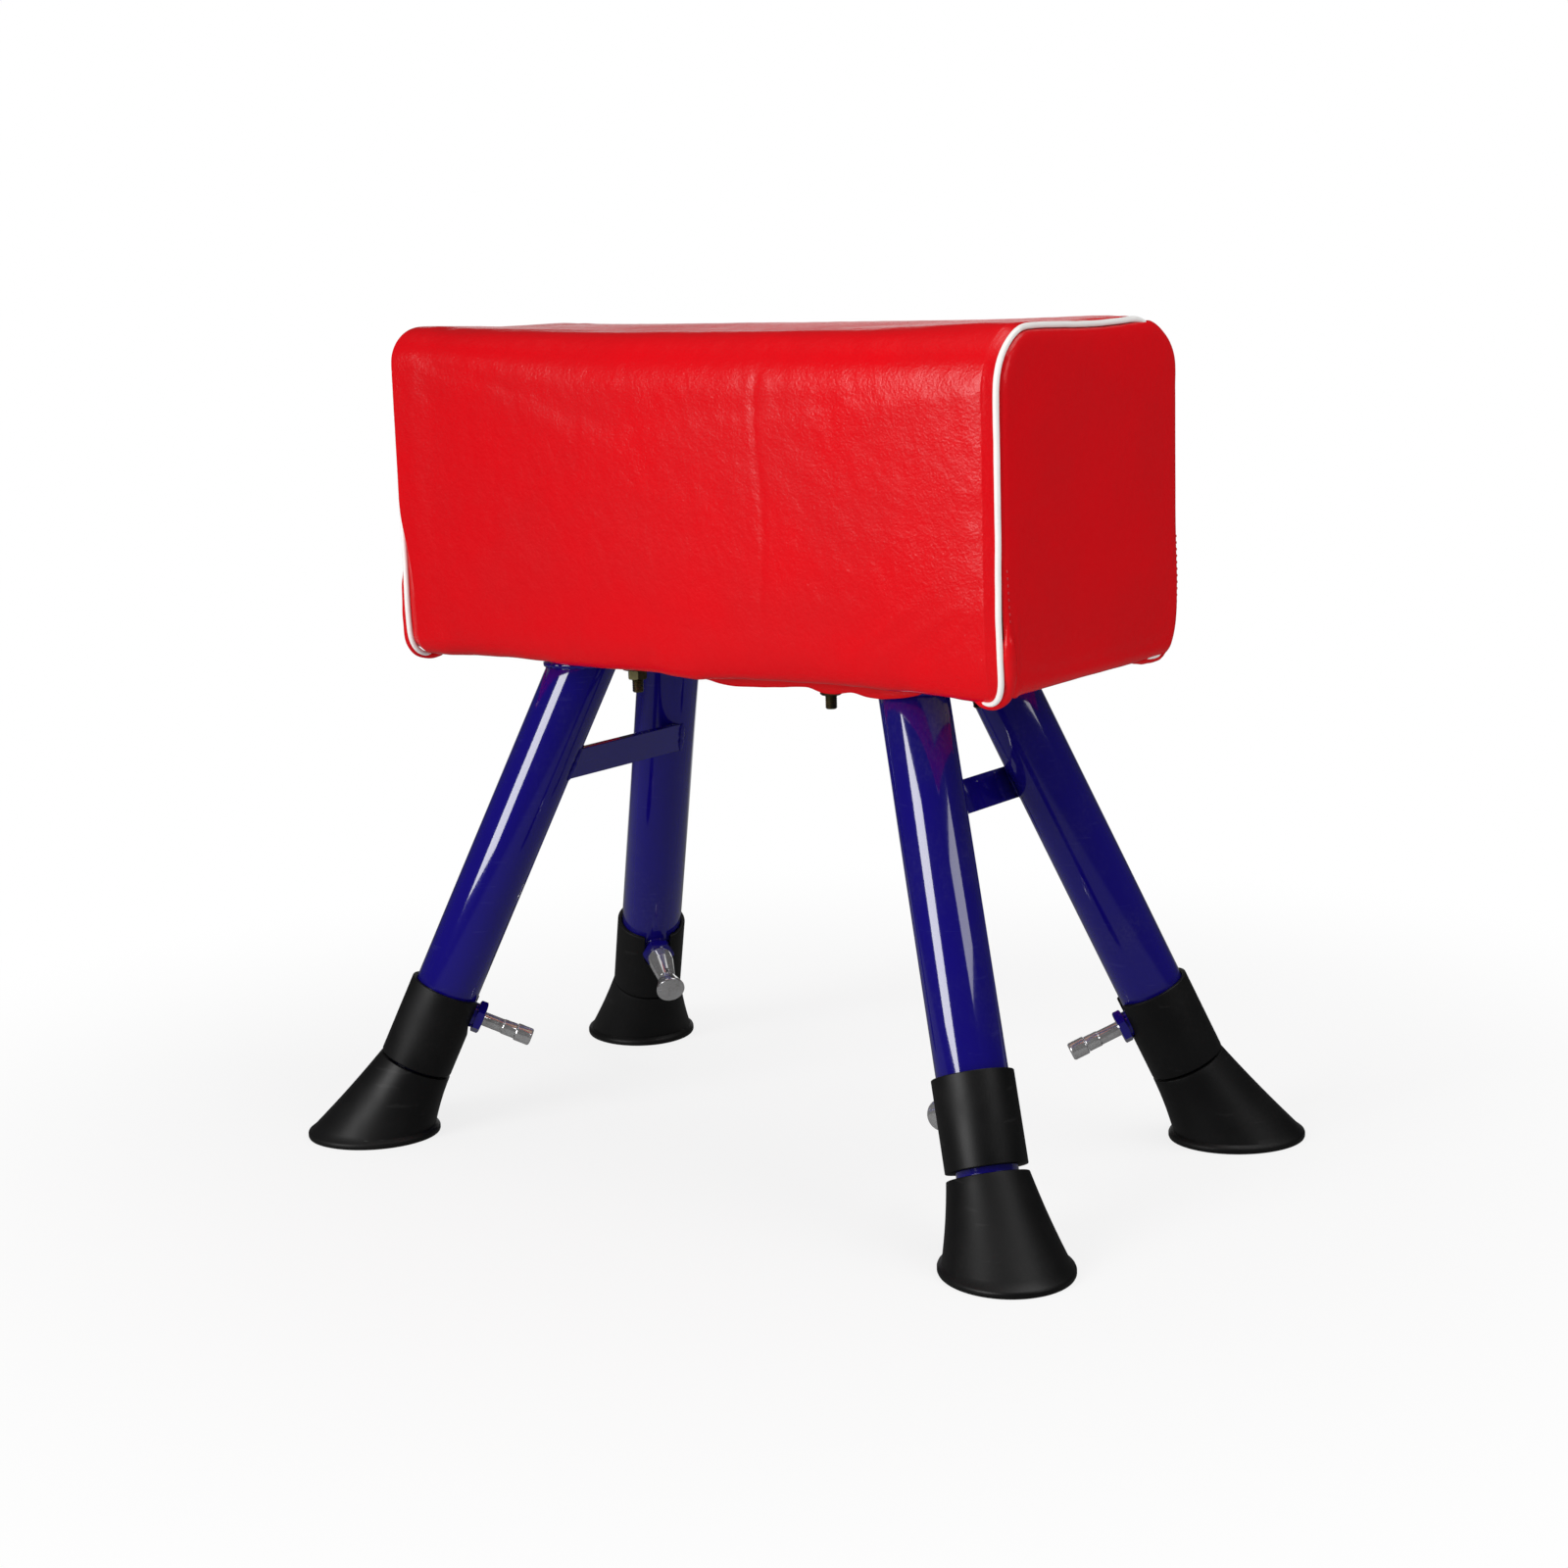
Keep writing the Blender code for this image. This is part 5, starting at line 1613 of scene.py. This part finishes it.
def make_boss(leg, place):
    """The hexagonal boss on an outer tube, with its weld."""
    turn = PLUNGER @ Matrix.Rotation(BOSS_TURN.get(leg, 0) + math.pi / 6, 4, "Z")
    head = hex_blank(BOSS_FLATS, BOSS_FACE - BOSS_HEAD, BOSS_FACE, HEX_EASING)
    bmesh.ops.transform(head, matrix=turn, verts=head.verts)
    neck = cylinder(BOSS_NECK_RADIUS, 0.028, BOSS_FACE - BOSS_HEAD / 2, 48, PLUNGER)
    bore = cylinder(THREAD_RADIUS + GAP, 0, BOSS_FACE + 0.01, 48, PLUNGER)
    tube = cylinder(OUTER_RADIUS + GAP, 0, 2 * LOCK_RISE, 96)
    bm = shaped(head, [("UNION", neck), ("DIFFERENCE", bore), ("DIFFERENCE", tube)])
    add_piece("hex_boss_" + leg, bm, PAINT, "buck", ("lock_boss_" + leg,), place)
    path = []
    for step in range(40):
        angle = 2 * math.pi * step / 40
        reach = BOSS_NECK_RADIUS + 0.0004
        across = reach * math.sin(angle)
        out = math.sqrt(OUTER_RADIUS**2 - across**2) + 0.0002
        path.append(place @ (PLUNGER @ Vector((reach * math.cos(angle), across, out))))
    weld = bead(path, 0.0011, 0.15, 1.0, closed=True)
    add_piece("boss_weld_" + leg, weld, PAINT, "buck", smooth_below=60)


def make_collar(leg, place, low):
    """A rubber collar with a lip at its mouth and a slot for the boss."""
    bore = OUTER_RADIUS + GAP
    lip = INNER_RADIUS + 0.0004
    profile = [
        (COLLAR_RADIUS, COLLAR_LENGTH),
        (COLLAR_RADIUS, 0),
        (lip, 0),
        (lip, COLLAR_LIP),
        (bore, COLLAR_LIP),
        (bore, COLLAR_LENGTH),
    ]
    bm = turned(filleted(profile, 0.0011, 4, closed=True), 128, closed=True)
    sideways = Matrix.Translation((0, 0, NOTCH_RISE)) @ Matrix.Rotation(math.pi / 2, 4, "Y")
    reach = 2 * COLLAR_RADIUS
    round_end = cylinder(NOTCH_RADIUS, 0, reach, 64, sideways)
    height = COLLAR_LENGTH - NOTCH_RISE + 0.01
    slot = block((reach, 2 * NOTCH_RADIUS, height), (reach / 2, 0, NOTCH_RISE + height / 2))
    bm = shaped(bm, [("DIFFERENCE", round_end), ("DIFFERENCE", slot)])
    up = Matrix.Translation((0, 0, low))
    replaced = ("rubber_collar_" + leg,)
    add_piece("sleeve_" + leg, bm, RUBBER, "buck", replaced, place @ up)


def make_foot(leg, place, top):
    """A loft from an oval, slightly flared floor rim to the round mouth, with a ribbed sole."""
    rings = []

    def oval(long_half, wide_half, height, turn):
        x = long_half * math.cos(turn) - FOOT_OUTWARD
        return FLOOR @ Vector((x, wide_half * math.sin(turn), height))

    def circle(radius, height, turn):
        return Vector((radius * math.cos(turn), radius * math.sin(turn), height))

    def floor_ring(long_half, wide_half, height):
        rings.append(lambda turn: oval(long_half, wide_half, height, turn))

    def mouth_ring(radius, height):
        rings.append(lambda turn: circle(radius, height, turn))

    half_long, half_wide = FOOT_LONG / 2, FOOT_WIDE / 2
    # The sole: three raised ribs and the groove inside the rim
    floor_ring(0, 0, 0.0012)
    for share in (0.30, 0.50, 0.70):
        for step, height in ((-0.035, 0.0012), (-0.025, 0.0), (0.025, 0.0), (0.035, 0.0012)):
            floor_ring(half_long * (share + step), half_wide * (share + step), height)
    floor_ring(half_long * 0.86, half_wide * 0.86, 0.0012)
    floor_ring(half_long * 0.875, half_wide * 0.875, 0.0)
    rim = FOOT_FLANGE_HEIGHT * 0.75
    rim_levels = [
        (0.0018, 0.0),
        (0.0006, 0.0005),
        (0.0, 0.0018),
        (0.0, rim - 0.0018),
        (0.0006, rim - 0.0004),
        (0.0018, rim + 0.0006),
    ]
    for out, height in rim_levels:
        floor_ring(half_long - out, half_wide - out, height)
    # The side: straight from rim to mouth, drawn in a little between them
    levels = 16
    low_long, low_wide = half_long - FOOT_FLANGE, half_wide - FOOT_FLANGE
    for step in range(levels + 1):
        share = step / levels
        draw = 0.0012 * math.sin(math.pi * share) ** 0.9

        def side_point(turn, share=share, draw=draw):
            base = oval(low_long, low_wide, FOOT_FLANGE_HEIGHT, turn)
            mouth = circle(FOOT_TOP_RADIUS, top - 0.0016, turn)
            inward = Vector((-math.cos(turn), -math.sin(turn), 0))
            return base.lerp(mouth, share) + inward * draw

        rings.append(side_point)
    mouth_ring(FOOT_TOP_RADIUS - 0.0004, top - 0.0005)
    mouth_ring(FOOT_TOP_RADIUS - 0.0015, top)
    socket = INNER_RADIUS + GAP
    mouth_ring(socket + 0.0006, top)
    mouth_ring(socket, top - 0.0006)
    mouth_ring(socket, INNER_LOW - GAP)
    mouth_ring(0, INNER_LOW - GAP)
    last = len(rings) - 1
    bm = surface(96, last, lambda around, up: rings[round(up * last)](2 * math.pi * around))
    add_piece("boot_" + leg, bm, RUBBER, "leg_" + leg, ("rubber_foot_" + leg,), place)


def make_inner_tube(leg, place):
    """An inner tube with its row of holes."""
    bush_top = along_for_height(-OUTER_BORE, PLATE_BOTTOM - GAP) - HEADROOM
    top = bush_top - GUIDE_FLANGE - GAP
    bm = turned(tube_wall(INNER_RADIUS, INNER_BORE, INNER_LOW, top, 0.0004), 96, closed=True)
    drills = []
    for setting in range(HEIGHT_SETTINGS):
        up = Matrix.Translation((0, 0, setting * HOLE_PITCH))
        drills.append(cylinder(HOLE_RADIUS, 0, 0.04, 32, up @ PLUNGER))
    bm = shaped(bm, [("DIFFERENCE", joined(*drills))])
    add_piece("slide_tube_" + leg, bm, PAINT, "leg_" + leg, ("inner_tube_" + leg,), place)


# Outlines of the two kinds of plunger, (diameter, distance from the inner end)
SLIM_BARREL = [(0.0155, 0), (0.0155, 0.0222), (0.0168, 0.0235), (0.0168, 0.0375)]
SLIM_KNOB = [(0.0170, 0), (0.0195, 0.001), (0.0195, 0.017), (0.0165, 0.0185)]
FLARED_BARREL = [(0.0250, 0), (0.0285, 0.002), (0.0285, 0.013), (0.0200, 0.0420)]
FLARED_KNOB = [(0.0205, 0), (0.0305, 0.015), (0.033, 0.018), (0.033, 0.0205), (0.0305, 0.0215)]


def make_plunger(leg, place):
    """A notched plunger barrel, and its pin with flange, stem and knob."""
    flared = leg in FLARED_LEGS
    barrel, knob = (FLARED_BARREL, FLARED_KNOB) if flared else (SLIM_BARREL, SLIM_KNOB)
    out = BOSS_FACE + barrel[-1][1]
    flange_in = BOSS_FACE - PIN_FLANGE_SUNK
    flange_out = flange_in + PIN_FLANGE
    chamber_in = flange_in - GAP
    chamber_out = BOSS_FACE + CHAMBER_LENGTH
    profile = [(wide / 2, BOSS_FACE + GAP + along) for wide, along in reversed(barrel)]
    profile += [
        (THREAD_RADIUS, BOSS_FACE + GAP),
        (THREAD_RADIUS, BARREL_IN),
        (BARREL_BORE, BARREL_IN),
        (BARREL_BORE, chamber_in),
        (CHAMBER_RADIUS, chamber_in),
        (CHAMBER_RADIUS, chamber_out),
        (STEM_BORE, chamber_out),
        (STEM_BORE, out + GAP),
    ]
    bm = turned(filleted(profile, 0.0005, 3, closed=True), 64, closed=True)
    notch = block((2 * barrel[-1][0], BARREL_NOTCH_WIDTH, 2 * BARREL_NOTCH_DEPTH), (0, 0, out))
    bm = shaped(bm, [("DIFFERENCE", notch)])
    sideways = place @ PLUNGER
    replaced = ("plunger_barrel_" + leg,)
    add_piece("plunger_housing_" + leg, bm, CHROME, "buck", replaced, sideways)
    knob_in = out + 2 * GAP
    profile = [(0, knob_in + knob[-1][1])]
    profile += [(wide / 2, knob_in + along) for wide, along in reversed(knob)]
    profile += [
        (STEM_RADIUS, knob_in),
        (STEM_RADIUS, flange_out),
        (PIN_FLANGE_RADIUS, flange_out),
        (PIN_FLANGE_RADIUS, flange_in),
        (PIN_RADIUS, flange_in),
        (PIN_RADIUS, PIN_TIP + PIN_CHAMFER),
        (PIN_RADIUS - PIN_CHAMFER, PIN_TIP),
        (0, PIN_TIP),
    ]
    bm = turned(filleted(profile, 0.0006, 3), 64)
    replaced = ("plunger_pin_" + leg,)
    add_piece("pull_pin_" + leg, bm, CHROME, "plunger_" + leg, replaced, sideways)


def make_leg(leg):
    """One leg with its lock, from the plate to the floor."""
    place = leg_frame(leg)
    foot_top = FOOT_TOP + FOOT_TALLER.get(leg, 0)
    collar_low = foot_top + COLLAR_ABOVE_FOOT + COLLAR_PUSHED_UP.get(leg, 0)
    make_outer_tube(leg, place)
    make_boss(leg, place)
    make_inner_tube(leg, place)
    make_collar(leg, place, collar_low)
    make_foot(leg, place, foot_top)
    make_plunger(leg, place)


# The nodes that keep their own shape


def dress_nodes():
    """Gives each CAD node that stays visible its procedural material."""
    finishes = {
        "core_": PLYWOOD,
        "base_board": PLYWOOD,
        "guide_bush_": NYLON,
        "plunger_spring_": SPRING_STEEL,
    }
    for name, node in frame["nodes"].items():
        for start, material in finishes.items():
            if name.startswith(start):
                node.data.materials.clear()
                node.data.materials.append(material)


# Studio

LENS = 63.46
SENSOR = 36
CAMERA_PLACE = (1.6979, -2.3150, 0.9389)
# Azimuth, elevation and roll, in degrees
CAMERA_ANGLES = (36.33, 10.89, -1.80)
# Level direction straight away from the camera
AWAY = (-0.592, 0.806, 0.0)
# How close to it a reflected ray starts to see the white background, and sees only that
BEHIND_WIDE = 0.88
BEHIND_NARROW = 0.97
STUDIO_DARK = 0.035
# What a reflected ray sees steeply above, and on the floor close to the object
CEILING_LIGHT = 0.60
NEAR_FLOOR_LIGHT = 0.12
# The even light that falls from all round, and the floor's own colour
ROOM_LIGHT = 0.42
FLOOR_COLOUR = 0.80
# Each lamp's place, what it points at, its size and its power
LAMPS = {
    "window": ((-1.58, -6.3, 2.85), (0, 0, 0.45), (3.0, 4.2), 305),
    "side": ((2.8, -0.25, 1.85), (0, 0, 0.4), (1.5, 0.85), 11),
    "overhead": ((1.0, 0.4, 3.0), (0, 0, 0.8), (1.6, 1.6), 22),
}


def add_softbox(name, place, look_at, size, power):
    """A rectangular lamp that points at a place."""
    lamp = bpy.data.lights.new(name, "AREA")
    lamp.shape = "RECTANGLE"
    lamp.size, lamp.size_y = size
    lamp.energy = power
    obj = bpy.data.objects.new(name, lamp)
    obj.location = place
    obj.rotation_euler = (Vector(look_at) - Vector(place)).to_track_quat("-Z", "Y").to_euler()
    bpy.context.scene.collection.objects.link(obj)


def opposite(tree, share):
    """1 where a share is 0, and 0 where it is 1."""
    return sum_of(tree, "SUBTRACT", 1.0, share)


def make_world():
    """White to the camera, and in reflections white behind the object and dark in front of it."""
    world = bpy.data.worlds.new("studio")
    bpy.context.scene.world = world
    # Its light is even, so it is found by the surfaces' own rays, which know their kind
    world.cycles.sampling_method = "NONE"
    world.use_nodes = True
    tree = world.node_tree
    light = add_node(tree, "ShaderNodeLightPath")
    background = tree.nodes["Background"]
    # In a world this vector points from the sky back to the object
    back = add_node(tree, "ShaderNodeNewGeometry").outputs["Incoming"]
    facing = add_node(tree, "ShaderNodeVectorMath", {0: back, 1: AWAY}, operation="DOT_PRODUCT")
    across = ramp(tree, facing.outputs["Value"], -BEHIND_NARROW, -BEHIND_WIDE)
    height = add_node(tree, "ShaderNodeSeparateXYZ", {0: back}).outputs["Z"]
    low = ramp(tree, height, -0.20, -0.12)
    behind = sum_of(tree, "MULTIPLY", opposite(tree, across), low)
    steep = opposite(tree, ramp(tree, height, -0.92, -0.80))
    room = blended(tree, steep, (STUDIO_DARK,) * 3, (CEILING_LIGHT,) * 3)
    mirrored_light = blended(tree, behind, room, (1, 1, 1))
    grey = blended(tree, light.outputs["Is Glossy Ray"], (ROOM_LIGHT,) * 3, mirrored_light)
    camera, through = light.outputs["Is Camera Ray"], light.outputs["Is Transmission Ray"]
    shown = sum_of(tree, "ADD", camera, through, clamp=True)
    tree.links.new(blended(tree, shown, grey, (1, 1, 1)), background.inputs["Color"])
    background.inputs["Strength"].default_value = 1.0


def make_floor():
    """A pale floor that keeps the object's shadow."""
    bm = bmesh.new()
    bmesh.ops.create_circle(bm, cap_ends=True, cap_tris=False, segments=96, radius=14)
    mesh = bpy.data.meshes.new("studio_floor")
    bm.to_mesh(mesh)
    bm.free()
    material = bpy.data.materials.new("pale_floor")
    material.use_nodes = True
    tree = material.node_tree
    tree.nodes.remove(tree.nodes["Principled BSDF"])
    output = tree.nodes["Material Output"]
    where = own_place(tree)
    distance = add_node(tree, "ShaderNodeVectorMath", {0: where}, operation="LENGTH").outputs["Value"]
    # Near the object the camera sees a fifth of the floor's own shading, for the shadow
    far = sum_of(tree, "ADD", 0.80, sum_of(tree, "MULTIPLY", ramp(tree, distance, 0.5, 1.4), 0.20))
    level = add_node(tree, "ShaderNodeVectorMath", {0: where}, operation="NORMALIZE").outputs[0]
    facing = add_node(tree, "ShaderNodeVectorMath", {0: level, 1: AWAY}, operation="DOT_PRODUCT")
    straight = ramp(tree, facing.outputs["Value"], BEHIND_WIDE, BEHIND_NARROW)
    behind = sum_of(tree, "MULTIPLY", straight, ramp(tree, distance, 1.0, 2.5))
    white_part = sum_of(tree, "MULTIPLY", behind, 1.0 - STUDIO_DARK)
    near = opposite(tree, ramp(tree, distance, 1.2, 2.6))
    near = sum_of(tree, "MULTIPLY", near, NEAR_FLOOR_LIGHT - STUDIO_DARK)
    mirrored_light = sum_of(tree, "ADD", sum_of(tree, "ADD", white_part, near), STUDIO_DARK)
    light = add_node(tree, "ShaderNodeLightPath")
    lit = add_node(tree, "ShaderNodeBsdfDiffuse", {"Color": (FLOOR_COLOUR,) * 3 + (1,)})
    white = add_node(tree, "ShaderNodeEmission", {"Color": (1, 1, 1, 1), "Strength": 1.0})
    dim = add_node(tree, "ShaderNodeEmission", {"Color": (1, 1, 1, 1), "Strength": mirrored_light})
    camera_share = sum_of(tree, "MULTIPLY", far, light.outputs["Is Camera Ray"])
    floor_shader = lit.outputs[0]
    for share, other in ((camera_share, white), (light.outputs["Is Glossy Ray"], dim)):
        mix = add_node(tree, "ShaderNodeMixShader", {0: share})
        tree.links.new(floor_shader, mix.inputs[1])
        tree.links.new(other.outputs[0], mix.inputs[2])
        floor_shader = mix.outputs[0]
    tree.links.new(floor_shader, output.inputs["Surface"])
    mesh.materials.append(material)
    floor = bpy.data.objects.new("studio_floor", mesh)
    bpy.context.scene.collection.objects.link(floor)


def make_camera():
    """The camera that took the photograph."""
    camera_data = bpy.data.cameras.new("photo_camera")
    camera_data.lens = LENS
    camera_data.sensor_width = SENSOR
    camera = bpy.data.objects.new("photo_camera", camera_data)
    azimuth, elevation, roll = (math.radians(angle) for angle in CAMERA_ANGLES)
    level = math.cos(elevation)
    forward = (-math.sin(azimuth) * level, math.cos(azimuth) * level, -math.sin(elevation))
    forward = Vector(forward)
    right = Vector((math.cos(azimuth), math.sin(azimuth), 0))
    up = right.cross(forward)
    right_rolled = right * math.cos(roll) + up * math.sin(roll)
    up_rolled = up * math.cos(roll) - right * math.sin(roll)
    matrix = Matrix((right_rolled, up_rolled, -forward)).transposed().to_4x4()
    matrix.translation = CAMERA_PLACE
    camera.matrix_world = matrix
    bpy.context.scene.collection.objects.link(camera)
    bpy.context.scene.camera = camera


dress_nodes()
make_foam()
make_wrap()
for end_name, end_sign in SIDES.items():
    end_panel = make_end_panel(end_name, end_sign)
    make_piping(end_name, end_sign)
    make_stitches(end_panel, end_name, end_sign)
    for edge_name in ("front", "back"):
        make_corner_fold(end_name, edge_name)
make_plates()
make_bolts()
make_braces()
for leg_name in LEGS:
    make_leg(leg_name)

make_world()
make_floor()
make_camera()
for lamp_name, lamp_values in LAMPS.items():
    add_softbox(lamp_name, *lamp_values)
bpy.context.scene.view_settings.view_transform = "Standard"
